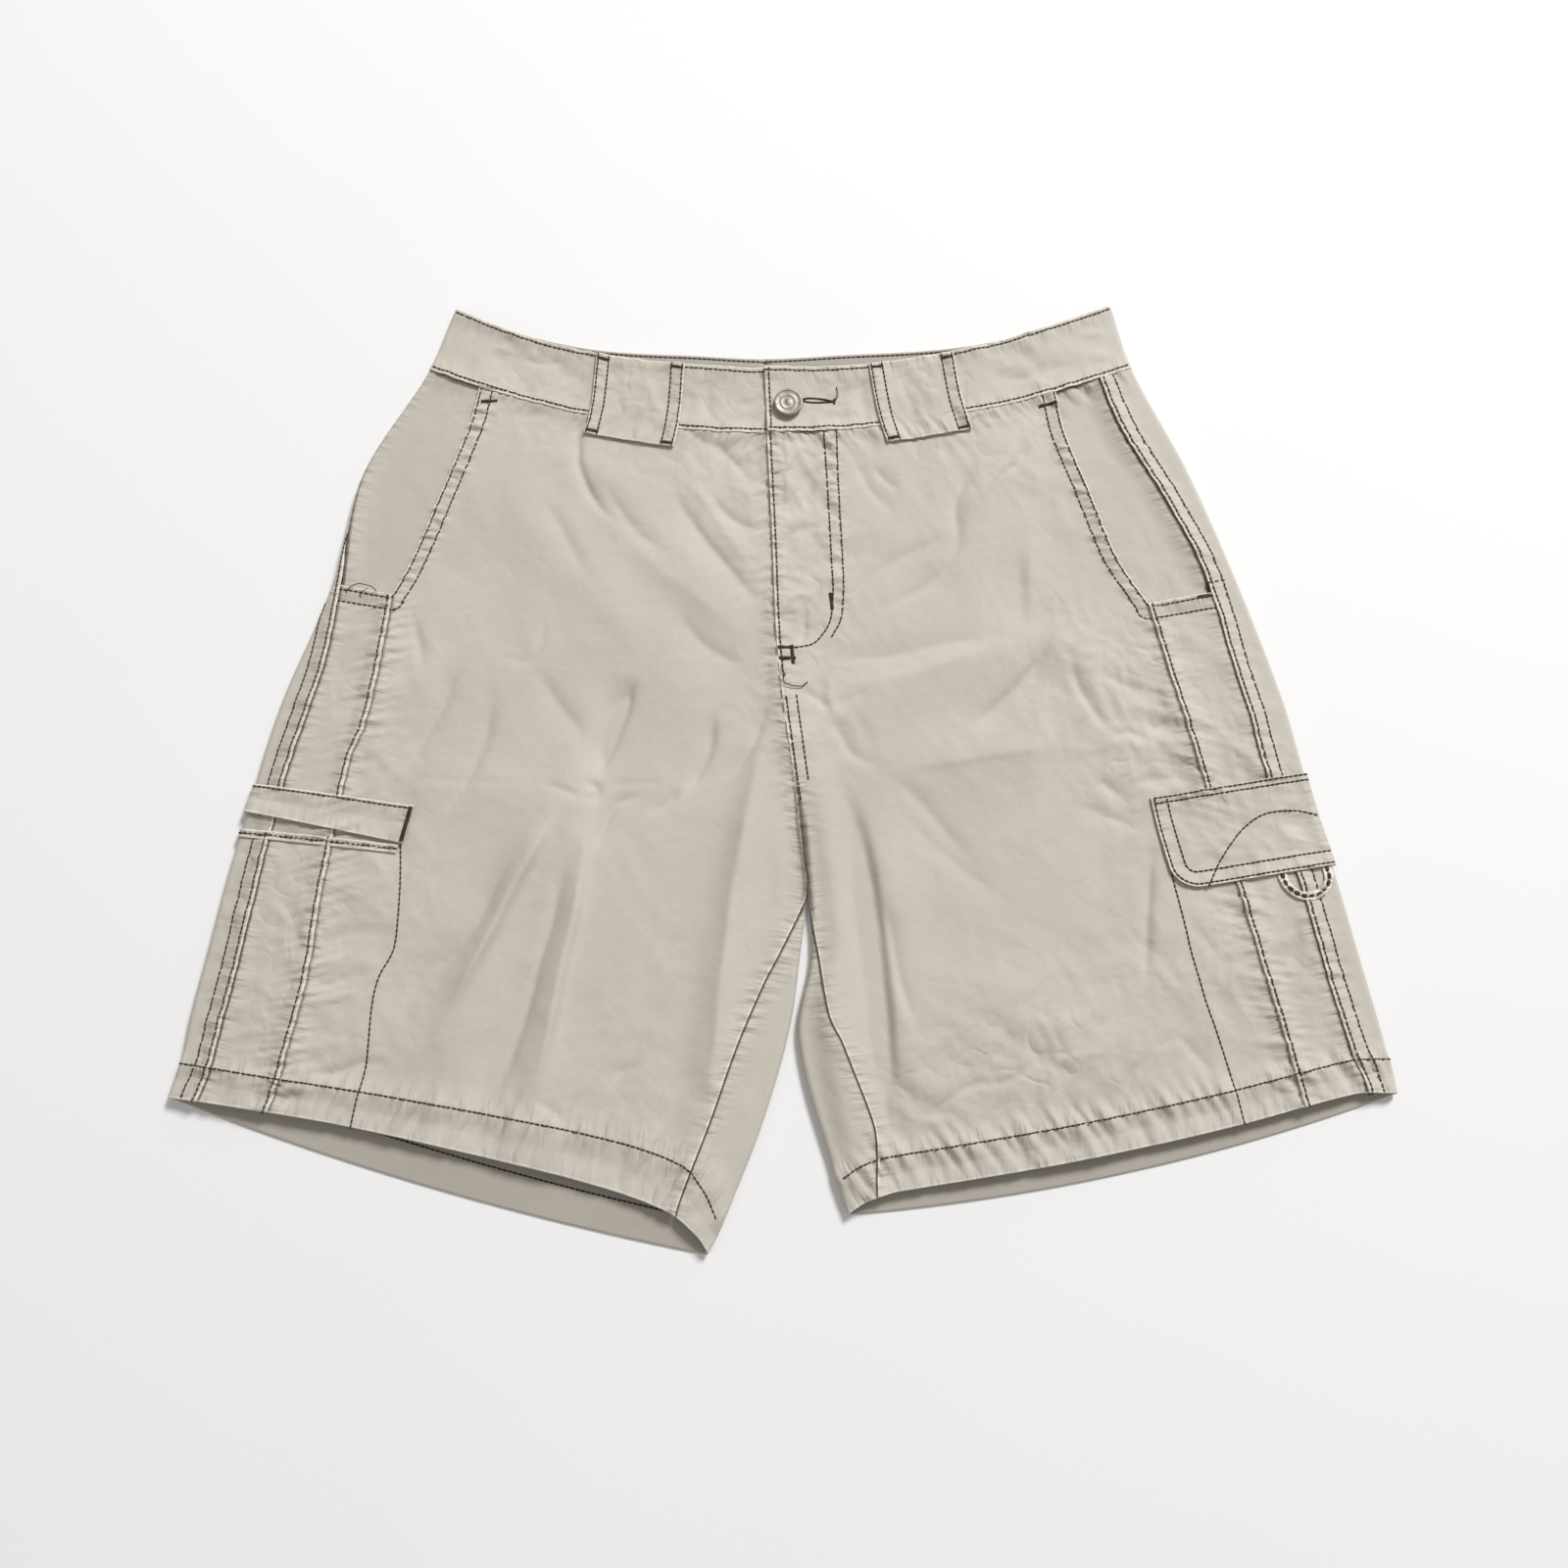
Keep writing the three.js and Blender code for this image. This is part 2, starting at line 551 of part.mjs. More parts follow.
// A wide belt loop that hangs a little below the waistband.
function beltLoop(half) {
  const size = BELT_LOOP[half.name];
  const place = (i, j) => {
    const t = j / LOOP_GRID;
    const outer = mix(size.outerTop, size.outerBottom, t);
    const inner = mix(size.innerTop, size.innerBottom, t);
    return [mix(outer, inner, i / LOOP_GRID), mix(size.top, size.bottom, t)];
  };
  const base = WAISTBAND.above + SEAM_GAP;
  return wall(half, LOOP_GRID, LOOP_GRID, place, () => base + LOOP_THICK, () => base);
}

// A strip or flap over a cargo pocket, from just past the outer fold towards the front.
function trim(half, size, columns, rows, topAt, bottomAt) {
  const gape = (a, down) => size.gape * clamp01((down - topAt(a)) / (bottomAt(a) - topAt(a)));
  const places = [
    ...spread(TRIM_GRID.pastFold, QUARTER_FOLD, TRIM_GRID.fold),
    ...spread(QUARTER_FOLD, size.reach, columns).slice(1),
  ];
  const place = (i, j) => [places[i], mix(topAt(places[i]), bottomAt(places[i]), j / rows)];
  return wall(
    half, places.length - 1, rows, place,
    (a, down) => size.off + size.thick + gape(a, down),
    (a, down) => size.off + gape(a, down),
  );
}

// A straight strip whose ends differ in height.
function strip(half, size, rows) {
  const part = (a) => clamp01(a / size.reach);
  const top = (a) => mix(size.topOuter, size.topInner, part(a));
  const bottom = (a) => mix(size.bottomOuter, size.bottomInner, part(a));
  return trim(half, size, TRIM_GRID.strip, rows, top, bottom);
}

function cargoFlap(half) {
  const bottom = (a) => {
    const near = Math.max(0, a - (CARGO_FLAP.reach - CARGO_FLAP.corner));
    return CARGO_FLAP.bottom - CARGO_FLAP.corner + Math.sqrt(CARGO_FLAP.corner ** 2 - near ** 2);
  };
  return trim(half, CARGO_FLAP, TRIM_GRID.flap, TRIM_GRID.flapRows, () => CARGO_FLAP.top, bottom);
}

// The U of tape under the flap's lower edge.
function pullLoop(half) {
  const { across, down, radius, tape, legTop, thick, off, legs, turns } = PULL_LOOP;
  const columns = turns + 2 * legs;
  const place = (i, j) => {
    const reach = radius + (j - 0.5) * tape;
    if (i < legs) return [across + reach, mix(legTop, down, i / legs)];
    if (i > columns - legs) return [across - reach, mix(legTop, down, (columns - i) / legs)];
    const angle = (Math.PI * (i - legs)) / turns;
    return [across + reach * Math.cos(angle), down + reach * Math.sin(angle)];
  };
  return wall(half, columns, 1, place, () => off + thick, () => off);
}

// A metal shank button: a dished cap with a raised rim and a small centre boss, on a short shank.
function button(half) {
  const { point } = half.at(half.length(BUTTON.down) - BUTTON.fromCentre, BUTTON.down);
  const profile = [
    [0, 0], [BUTTON.shank, 0], [BUTTON.shank, BUTTON.shankTop], [BUTTON.edgeRadius, BUTTON.shankTop],
    [BUTTON.radius, BUTTON.edgeBase], [BUTTON.radius, BUTTON.edgeTop], [BUTTON.rimOuter, BUTTON.top],
    [BUTTON.rimInner, BUTTON.top], [BUTTON.dishRadius, BUTTON.dish], [BUTTON.bossBase, BUTTON.dish],
    [BUTTON.bossRadius, BUTTON.boss], [0, BUTTON.boss],
  ].map(([radius, height]) => new THREE.Vector2(radius, height));
  const mesh = add("button", new THREE.LatheGeometry(profile, BUTTON.sides), nickel);
  mesh.rotation.x = Math.PI / 2;
  mesh.position.set(point.x, point.y, point.z + WAISTBAND.above + WAISTBAND.flyLift + BUTTON.gap);
}

const right = makeHalf("right");
const left = makeHalf("left");
for (const half of [right, left]) {
  add(`front_${half.name}`, front(half));
  add(`side_panel_${half.name}`, sidePanel(half));
  add(`back_${half.name}`, back(half));
  add(`pocket_facing_${half.name}`, pocketFacing(half), facingCloth);
  add(`waistband_${half.name}`, waistband(half));
  add(`belt_loop_${half.name}`, beltLoop(half));
}
add("cargo_band_right", strip(right, CARGO_BAND, 3));
add("cargo_lip_right", strip(right, CARGO_LIP, 1));
add("cargo_flap_left", cargoFlap(left));
add("pull_loop_left", pullLoop(left), tapeCloth);
button(left);

export default shorts;
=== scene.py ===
import logging
import math
from collections.abc import Callable, Sequence
from dataclasses import dataclass
from enum import Enum

import bpy
import numpy as np
from bpy.types import ID, Material, Mesh, Node, NodeSocket, Object
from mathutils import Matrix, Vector
from mathutils.bvhtree import BVHTree


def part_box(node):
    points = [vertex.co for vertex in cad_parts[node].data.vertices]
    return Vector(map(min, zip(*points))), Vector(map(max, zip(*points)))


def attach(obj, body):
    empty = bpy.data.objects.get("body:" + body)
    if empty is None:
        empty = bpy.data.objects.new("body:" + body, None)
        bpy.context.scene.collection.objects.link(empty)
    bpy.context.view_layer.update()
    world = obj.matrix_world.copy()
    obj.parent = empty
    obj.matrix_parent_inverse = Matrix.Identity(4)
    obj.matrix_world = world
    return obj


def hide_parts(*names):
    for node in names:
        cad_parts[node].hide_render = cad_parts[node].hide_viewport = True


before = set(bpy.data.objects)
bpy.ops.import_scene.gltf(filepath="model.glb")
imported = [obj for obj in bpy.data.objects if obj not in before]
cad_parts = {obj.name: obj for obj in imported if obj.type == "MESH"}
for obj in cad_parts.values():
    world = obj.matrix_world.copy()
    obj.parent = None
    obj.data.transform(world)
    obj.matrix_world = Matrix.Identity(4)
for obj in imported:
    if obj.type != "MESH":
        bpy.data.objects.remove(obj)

# Cargo shorts laid flat on their back. Lengths are millimetres in the part's own frame until a mesh is
# made. A place on the cloth is (across, down): across is measured round a section of a leg from the
# outer fold, positive over the top and negative along the underside, and down is the row below the
# waist seam.
LOG = logging.getLogger("shorts")
MM = 0.001
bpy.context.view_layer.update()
BACK_RIGHT_CORNER = (-310.9, -258.0)

# Short names of types.
Array = np.ndarray
Pair = tuple[float, float]
Colour = tuple[float, float, float, float]

# Cloth and its folded edges, as in the part's source.
HALF = 0.6
SEAM_GAP = 0.3
FOLD_RADIUS = 2.3
QUARTER_FOLD = math.pi / 2 * FOLD_RADIUS
HEM_DEPTH = 18.5
BAND_TOP = -38.0
CROTCH = 265.0
HEM = 437.0
TURN_START = 185.0
SIDE_PANEL_TOP = 138.0

# The finer shells: how far a panel's faces lie from the mid surface, and how one panel laps another.
OUTER = 0.6
INNER = -0.25
LAP_LIFT = 0.92
LAP_OVER = 0.8
LAP_RAMP = (9.0, 2.0)
HEM_THICK = 0.5
STEP = 1.55
EDGE_STEPS = (0.0, 0.15, 0.4, 0.8, 1.3, 2.0, 3.1)
EDGE_ROUND = 0.6

# How much painted shade darkens a seam's groove and the cloth's inside, where an edge's pale bead of
# rubbing and painted highlight ends and how high it is, and how far puckers reach, with their share at the
# inseam.
GROOVE_SHADE = 0.9
INSIDE_SHADE = 0.28
BEAD = (0.5, 1.1)
BEAD_RISE = 0.15
PUCKER_REACH = 6.5
INSEAM_PUCKERING = 0.5
PUCKER_SEED = 23


class Side(Enum):
    """The wearer's side."""

    RIGHT = "right"
    LEFT = "left"


class Edge(Enum):
    """An edge of a panel's grid: its first and last column, and its first and last row."""

    START = "start"
    END = "end"
    TOP = "top"
    BOTTOM = "bottom"


def smooth(start: float, end: float, value: Array | float) -> Array:
    """Eases from 0 where value is start to 1 where it is end, on either side of start."""
    t = np.clip((np.asarray(value, float) - start) / (end - start), 0, 1)
    return t * t * (3 - 2 * t)


def mix(first: Array | float, second: Array | float, share: Array | float) -> Array:
    """Goes from first to second as share goes from 0 to 1."""
    return first + (second - first) * share


def spaced(length: float, step: float = STEP) -> Array:
    """Shares along a run from edge to edge, close together at both edges.

    Args:
        length: the run's length.
        step: the spacing between its ends.

    Returns:
        Shares from 0 to 1.
    """
    near = np.array(EDGE_STEPS)
    count = max(2, round((length - 2 * near[-1]) / step))
    middle = np.linspace(near[-1], length - near[-1], count + 1)[1:-1]
    return np.concatenate([near, middle, length - near[::-1]]) / length


def stretched(marks: Sequence[Array], shares: Sequence[Array]) -> Array:
    """Strings runs together, each a list of shares of the way from one mark to the next."""
    runs = zip(marks[:-1], marks[1:], shares)
    return np.concatenate([mix(a, b, t[:, None] if np.ndim(a) else t) for a, b, t in runs])


@dataclass(frozen=True)
class TableCurve:
    """A smooth curve through given pairs of a key and a value, straight beyond both ends."""

    pairs: tuple[Pair, ...]

    def __call__(self, key: Array | float) -> Array:
        """Reads the curve.

        Args:
            key: where it is read.

        Returns:
            Its value at each key.
        """
        keys = np.array([pair[0] for pair in self.pairs], float)
        values = np.array([pair[1] for pair in self.pairs], float)
        last = len(keys) - 1
        before = np.maximum(np.arange(last + 1) - 1, 0)
        after = np.minimum(np.arange(last + 1) + 1, last)
        slopes = (values[after] - values[before]) / (keys[after] - keys[before])
        key = np.asarray(key, float)
        i = np.clip(np.searchsorted(keys, key, side="left") - 1, 0, last - 1)
        run = keys[i + 1] - keys[i]
        t = (key - keys[i]) / run
        inside = (
            (2 * t**3 - 3 * t**2 + 1) * values[i]
            + (t**3 - 2 * t**2 + t) * run * slopes[i]
            + (3 * t**2 - 2 * t**3) * values[i + 1]
            + (t**3 - t**2) * run * slopes[i + 1]
        )
        low = values[0] + (key - keys[0]) * slopes[0]
        high = values[-1] + (key - keys[-1]) * slopes[-1]
        return np.where(key < keys[0], low, np.where(key > keys[-1], high, inside))


@dataclass(frozen=True)
class Section:
    """One row of a leg: its inner and outer ends, and how far its middle bows towards the waist."""

    down: float
    inner_x: float
    inner_y: float
    outer_x: float
    outer_y: float
    bow: float


SECTIONS = {
    Side.RIGHT: (
        Section(-38, -11, 224, -186, 255, -11),
        Section(0, -9, 179, -199, 218, -9),
        Section(68, -6, 118, -232, 157, -5),
        Section(133, -3, 52, -244, 95, -2),
        Section(200, 5, -14, -266, 32, 0),
        Section(235, 9.5, -48, -274.5, 1, 0),
        Section(265, 11.7, -78, -281, -30, 0),
        Section(300, 8.5, -110, -289, -65, -1),
        Section(342, 2.5, -150, -297, -108, -2),
        Section(385, -11.5, -197, -303, -140, -4),
        Section(417, -29, -240, -306, -163, -5),
        Section(437, -38, -258, -311, -182, -6),
    ),
    Side.LEFT: (
        Section(-38, -11, 224, 185, 257, -11),
        Section(0, -9, 179, 195, 219, -9),
        Section(68, -6, 118, 223, 157, -5),
        Section(133, -3, 52, 246, 93, -2),
        Section(200, 5, -14, 266, 28, 0),
        Section(235, 9.5, -48, 273, -4, 0),
        Section(265, 12.3, -78, 279, -35, 0),
        Section(300, 14, -110, 287, -67, -1),
        Section(342, 7, -152, 295, -104, -3),
        Section(417, 25, -220, 307, -161, -8),
        Section(437, 32, -239, 310, -180, -9),
    ),
}

# The trims. The right cargo pocket's band and lip have their first and last rows, each at the outer fold
# and at the inner end, and the left one's flap has its rows. The pull loop has the middle of its bend and
# the row where its tape starts.
BAND_ROWS = ((255.5, 253.5), (270.3, 273.6))
BAND_REACH = 86.5
LIP_ROWS = ((279.0, 274.4), (283.5, 279.0))
LIP_REACH = 84.0
FLAP_ROWS = (245.0, 296.0)
FLAP_REACH = 85.0
FLAP_CORNER = 14.0
LOOP_CENTRE = (17.2, 299.0)
LOOP_RADIUS = 12.0
LOOP_TAPE = 4.6
LOOP_TOP = 292.0

# Belt loops: the first and last rows, then the outer and inner edges at the top and at the bottom.
BELT_LOOPS = {
    Side.RIGHT: (-34.8, 14.0, 86.0, 136.0, 99.0, 149.5),
    Side.LEFT: (-34.3, 12.5, 95.0, 143.0, 99.5, 147.5),
}

# Seams and free edges down a leg, as (down, millimetres from the outer fold or, at the inseam, from
# the inner fold), and the rows that a cut edge reaches, as (share of the way across, down).
OUTSEAM = {
    Side.RIGHT: TableCurve(
        ((-38, -1.5), (100, 0.5), (138, 5), (190, 15), (260, 15.5), (300, 17), (360, 18), (410, 17),
         (437, 15))
    ),
    Side.LEFT: TableCurve(
        ((-38, 19), (0, 20), (40, 23), (80, 19.5), (115, 16), (140, 16.5), (190, 20.5), (340, 20),
         (400, 19), (437, 15))
    ),
}
SIDE_SEAM = {
    Side.RIGHT: TableCurve(
        ((138, 34), (190, 45), (215, 48), (235, 46), (300, 50.5), (350, 54.5), (390, 53.5), (437, 51))
    ),
    Side.LEFT: TableCurve(((138, 52), (200, 55), (260, 53), (437, 49))),
}
POCKET_MOUTH = {
    Side.RIGHT: TableCurve(((0, 31), (33, 41), (62, 46), (87, 45), (112, 40), (138, 34))),
    Side.LEFT: TableCurve(((0, 46), (35, 54), (85, 58), (110, 58), (138, 52))),
}
INSEAM = {
    Side.RIGHT: TableCurve(((265, 0), (300, 11), (320, 18), (345, 24), (370, 26), (415, 25), (437, 19))),
    Side.LEFT: TableCurve(((265, 0), (300, 4), (332, 16), (350, 23), (390, 27.5), (410, 24), (437, 15))),
}
FRONT_HEM = {
    Side.RIGHT: TableCurve(
        ((0, 437), (0.1, 431), (0.3, 422), (0.5, 417.5), (0.75, 416), (0.92, 420), (0.97, 428), (1, 437))
    ),
    Side.LEFT: TableCurve(
        ((0, 437), (0.08, 430), (0.3, 428), (0.6, 427), (0.9, 428), (0.96, 431), (1, 437))
    ),
}
FRONT_TOP = {
    Side.RIGHT: TableCurve(((0, -38), (0.25, -36), (0.7, -35.5), (1, -33))),
    Side.LEFT: TableCurve(((0, -38), (0.2, -37.5), (0.5, -35.5), (1, -33))),
}
BACK_TOP = TableCurve(((0, -38), (0.4, -39), (0.75, -42), (1, -39.5)))


@dataclass(frozen=True)
class Fold:
    """A large soft ridge of the front along a line or, with a negative height, a trough."""

    from_x: float
    from_y: float
    to_x: float
    to_y: float
    width: float
    height: float


FOLDS = (
    Fold(-121, -28, -178, -172, 11, 3.4),
    Fold(-114, -60, -160, -200, 9, -1.6),
    Fold(-105, 10, -132, -205, 12, 3.6),
    Fold(-5, 14, -34, -128, 12, 3.4),
    Fold(-33, -110, -47, -225, 9, 3.0),
    Fold(-120, 178, -14, 62, 17, 2.4),
    Fold(-150, 150, -40, 10, 20, 2.2),
    Fold(-200, -18, -92, -28, 14, 1.6),
    Fold(2, 44, 22, -100, 14, 3.4),
    Fold(22, -84, 31, -216, 12, 3.4),
    Fold(24, 16, 140, 62, 15, 2.6),
    Fold(50, -12, 150, -2, 16, 1.9),
    Fold(84, 96, 132, 184, 16, 2.2),
    Fold(150, 70, 178, -10, 14, 2.0),
    Fold(90, -120, 182, -178, 20, 2.2),
)


@dataclass(frozen=True)
class Crease:
    """A finer crease of the front. Its widths are to the right and the left of its way along the path.

    A path that runs down the leg has the photo's left side on its right.
    """

    path: tuple[Pair, ...]
    height: float
    right: float
    left: float


CREASES = tuple(Crease(*given) for given in (
    # Right leg: the long ridge and the hollow beside it, the narrow pleat, the ridge by the inner leg.
    (((-116, -27), (-122, -42), (-131, -60), (-140, -77), (-149, -97), (-158, -115), (-173, -145)),
     4.8, 12.5, 2.2),
    (((-131, -46), (-148, -72), (-162, -103), (-186, -123), (-197, -152)), -2.8, 10, 7),
    (((-79, 38), (-83, 26), (-87, 14), (-93, -2), (-98, -19)), -4.4, 7, 2.4),
    (((-105, -20), (-99, -22), (-98, -26), (-102, -33)), -1.4, 1.8, 1.8),
    (((-99, -29), (-102, -47), (-107, -88), (-112, -112), (-118, -147), (-123, -172), (-129, -198)),
     4.2, 9, 1.8),
    (((-104, -48), (-115, -69), (-120, -92), (-129, -123), (-140, -157), (-151, -188)), -3.8, 2.2, 9),
    (((-126, -114), (-134, -138), (-141, -160), (-152, -190)), -3.4, 5, 2.2),
    (((-8, 18), (-13, -5), (-20, -40), (-26, -80), (-31, -120), (-36, -160), (-40, -205)), 3.4, 6, 8),
    (((-22, -55), (-25, -85), (-29, -118), (-33, -150)), -1.6, 2.2, 2.5),
    (((-23, -58), (-28, -100), (-32, -140), (-38, -195)), 1.2, 2.2, 2),
    (((-37, 20), (-38, 8), (-40, -4), (-46, -17), (-53, -29)), -2.4, 4.5, 2),
    (((-51, -23), (-62, -31), (-72, -38)), -1.0, 3, 2),
    (((-72, -26), (-87, -31), (-95, -46), (-101, -57)), -1.3, 3, 1.8),
    (((-9, 22), (-13, 8), (-21, -8), (-34, -20)), -1.3, 3, 2),
    (((-128, -20), (-116, -24), (-104, -30)), -0.8, 1.8, 1.8),
    (((-205, -16), (-165, -19), (-130, -20)), -0.22, 1.5, 1.5),
    (((-98, -22), (-80, -20), (-58, -21)), -0.22, 1.5, 1.5),
    (((-153, 51), (-137, 46), (-130, 58), (-130, 78)), -0.5, 1.6, 2.5),
    (((-134, 45), (-120, 23), (-108, 7), (-108, -4)), -1.2, 7, 4),
    (((-174, 45), (-181, 23), (-188, 9), (-201, -17)), -1.9, 6, 4),
    (((-155, 34), (-157, 12), (-165, -15), (-181, -40)), -2.0, 6, 4),
    (((-121, 189), (-114, 182), (-113, 160), (-104, 139), (-90, 123)), -1.7, 2.5, 1.8),
    (((-66, 152), (-52, 129), (-40, 112), (-24, 92), (-7, 70)), -1.6, 8, 2.2),
    (((-60, 163), (-32, 120), (-7, 83)), 1.0, 4, 6),
    (((-94, 128), (-72, 102), (-42, 78), (-11, 52)), 1.0, 8, 8),
    (((-100, 150), (-82, 122), (-60, 104)), -0.9, 4, 3),
    (((-58, 78), (-48, 61), (-34, 50), (-16, 42)), -1.0, 5, 3),
    (((-46, 181), (-24, 157), (-14, 146)), -1.1, 4, 2),
    (((-43, 146), (-30, 129), (-8, 117)), -1.1, 4, 2),
    (((-62, 187), (-48, 176), (-36, 169)), -1.0, 2.5, 2),
    (((-135, 143), (-122, 123), (-104, 89)), -1.1, 6, 4),
    (((-202, 78), (-197, 61), (-192, 39)), -1.1, 3, 2.5),
    (((-50, -115), (-66, -140), (-80, -165), (-94, -196)), -1.2, 7, 4),
    (((-88, -173), (-79, -168), (-69, -165)), -0.5, 2, 2),
    (((-125, -183), (-117, -188), (-109, -196)), -1.0, 2, 2),
    (((-248, -169), (-228, -170), (-213, -165), (-199, -165)), -1.4, 2.5, 2.5),
    (((1, -6), (7, -34), (10, -54), (12, -78)), -2.4, 4, 4),
    # Left leg: the crease by the inner leg, drags from the fly and crumples beside the side panel.
    (((28, -14), (36, -35), (41, -60), (45, -90), (48, -121), (50, -142), (52, -183), (53, -210)),
     -5.4, 8.5, 5.5),
    (((35, -20), (43, -38), (48, -62), (52, -92), (55, -122), (57, -145), (60, -200)), 3.2, 5, 17),
    (((50, -76), (55, -98), (59, -122), (69, -155)), -1.5, 2.5, 4),
    (((25, 18), (27, 12), (33, -1), (42, -8), (54, -13)), -0.8, 2, 3),
    (((53, -14), (70, -28), (86, -48), (104, -68)), -1.0, 5, 4),
    (((56, -13), (83, -10), (120, -4), (156, 0)), 0.6, 1.6, 8),
    (((16, 49), (53, 49), (84, 56), (127, 61)), -1.3, 5, 6),
    (((26, 33), (52, 35), (84, 45), (124, 58)), 0.9, 6, 5),
    (((32, 67), (40, 86), (53, 100), (94, 120)), -1.2, 6, 4),
    (((42, 71), (80, 91), (94, 112), (94, 134), (100, 152), (117, 178)), -1.4, 3, 4),
    (((99, 118), (102, 134), (122, 160), (131, 175)), 1.2, 4, 4),
    (((135, 175), (129, 160), (119, 152)), -1.3, 3, 3),
    (((127, 112), (128, 89), (128, 62)), -0.8, 8, 3),
    (((134, 123), (133, 89), (133, 64)), 0.7, 3, 6),
    (((98, 8), (111, 20), (128, 36), (146, 60)), -2.4, 6, 3),
    (((152, 56), (156, 35), (165, 18), (176, 3)), -1.7, 2, 4),
    (((158, 50), (170, 40), (187, 31), (205, 27)), -1.1, 4, 3),
    (((172, 4), (182, 7), (193, 2)), -1.2, 1.8, 1.8),
    (((191, 20), (197, 9), (209, 19)), -1.3, 2, 2),
    (((178, -22), (197, -18), (220, -18)), -1.0, 1.8, 3),
    (((162, -17), (172, -23), (184, -32)), -1.0, 3, 3),
    (((152, -30), (166, -36), (186, -45)), -1.1, 4, 3),
    (((193, -50), (190, -70), (187, -100), (185, -130)), -2.3, 3, 2),
    (((100, -138), (115, -152), (139, -167), (168, -182)), -1.0, 7, 6),
    (((70, -194), (88, -179), (98, -175), (113, -174), (124, -167), (135, -160)), -0.9, 2, 1.8),
    (((171, -184), (175, -171), (184, -162)), -1.1, 1.8, 2.5),
    (((197, -148), (218, -171)), -0.9, 2, 2),
    (((52, -167), (64, -182), (82, -188)), -0.8, 3, 3),
    (((6, 32), (17, 26), (26, 18)), -1.2, 2, 2),
    (((25, 19), (34, 25), (46, 31)), -0.7, 2, 2.5),
    (((17, 153), (11, 139), (-3, 124)), -1.3, 3, 3),
    (((48, 160), (57, 149), (65, 146)), -1.0, 2, 3),
    (((54, -28), (82, -57), (122, -87)), -0.8, 6, 5),
    # Fly.
    (((-7, 140), (0, 158), (16, 176)), 1.5, 3, 2),
    (((-1, 128), (10, 147), (21, 160)), -1.3, 2.5, 3),
    (((-2, 108), (6, 119), (21, 124)), -1.2, 2.5, 2.5),
    (((-1, 74), (7, 84), (20, 80)), 1.3, 2.5, 2.5),
    (((9, 54), (11, 67), (11, 80)), -1.4, 2, 2),
    (((36, 172), (46, 147), (61, 130)), -0.9, 3, 4),
    (((14, 187), (37, 188), (52, 184)), -0.8, 2, 2),
    # Waistband.
    (((-43, 217), (-43, 200), (-41, 183)), -1.2, 2, 2.5),
    (((46, 217), (44, 201), (48, 183)), -1.2, 2.5, 2),
    (((-30, 199), (-20, 196), (-10, 202)), -0.9, 2, 2),
    (((24, 206), (34, 203), (44, 207)), -0.8, 2, 2),
    (((-152, 226), (-138, 221), (-118, 221)), -0.9, 2, 3),
    (((112, 214), (132, 211), (152, 218), (172, 215)), -0.9, 2, 3),
))


@dataclass(frozen=True)
class Crumple:
    """A part of the front where the cloth is more crumpled than elsewhere."""

    x: float
    y: float
    reach: float
    amount: float


CRUMPLES = tuple(Crumple(*given) for given in (
    (-245, -90, 55, 0.9),
    (-250, -165, 40, 0.8),
    (-215, 20, 40, 0.5),
    (-20, 150, 45, 0.5),
    (12, 165, 24, 0.8),
    (12, 110, 30, 0.9),
    (12, 70, 22, 0.8),
    (-145, 222, 34, 0.9),
    (-85, 205, 34, 0.9),
    (-30, 203, 26, 0.9),
    (38, 203, 26, 0.9),
    (85, 205, 34, 0.9),
    (140, 218, 34, 0.9),
    (180, 30, 55, 0.9),
    (240, -20, 50, 0.9),
    (240, -120, 55, 0.8),
    (130, -178, 55, 0.9),
    (60, -185, 30, 0.6),
    (-80, -195, 50, 0.4),
    (120, 160, 40, 0.5),
    (15, 20, 30, 0.7),
))


class Noise:
    """Seeded gradient noise over the plane."""

    SIZE = 256

    def __init__(self, seed: int) -> None:
        """Draws the slopes at the lattice's points."""
        angles = np.random.default_rng(seed).uniform(0, 2 * math.pi, (self.SIZE, self.SIZE))
        self.slope_x = np.cos(angles)
        self.slope_y = np.sin(angles)

    def __call__(self, x: Array, y: Array | float = 0.5) -> Array:
        """Reads the noise.

        Args:
            x: places in lattice steps.
            y: places in lattice steps the other way.

        Returns:
            Values of about -1 to 1.
        """
        x, y = np.broadcast_arrays(np.asarray(x, float), np.asarray(y, float))
        column = np.floor(x).astype(int)
        row = np.floor(y).astype(int)
        u = x - column
        v = y - row

        def corner(right: int, up: int) -> Array:
            """The value that one corner of the cell gives."""
            i = (column + right) % self.SIZE
            j = (row + up) % self.SIZE
            return self.slope_x[i, j] * (u - right) + self.slope_y[i, j] * (v - up)

        ease_u = u**3 * (u * (6 * u - 15) + 10)
        ease_v = v**3 * (v * (6 * v - 15) + 10)
        low = mix(corner(0, 0), corner(1, 0), ease_u)
        high = mix(corner(0, 1), corner(1, 1), ease_u)
        return 1.5 * mix(low, high, ease_v)


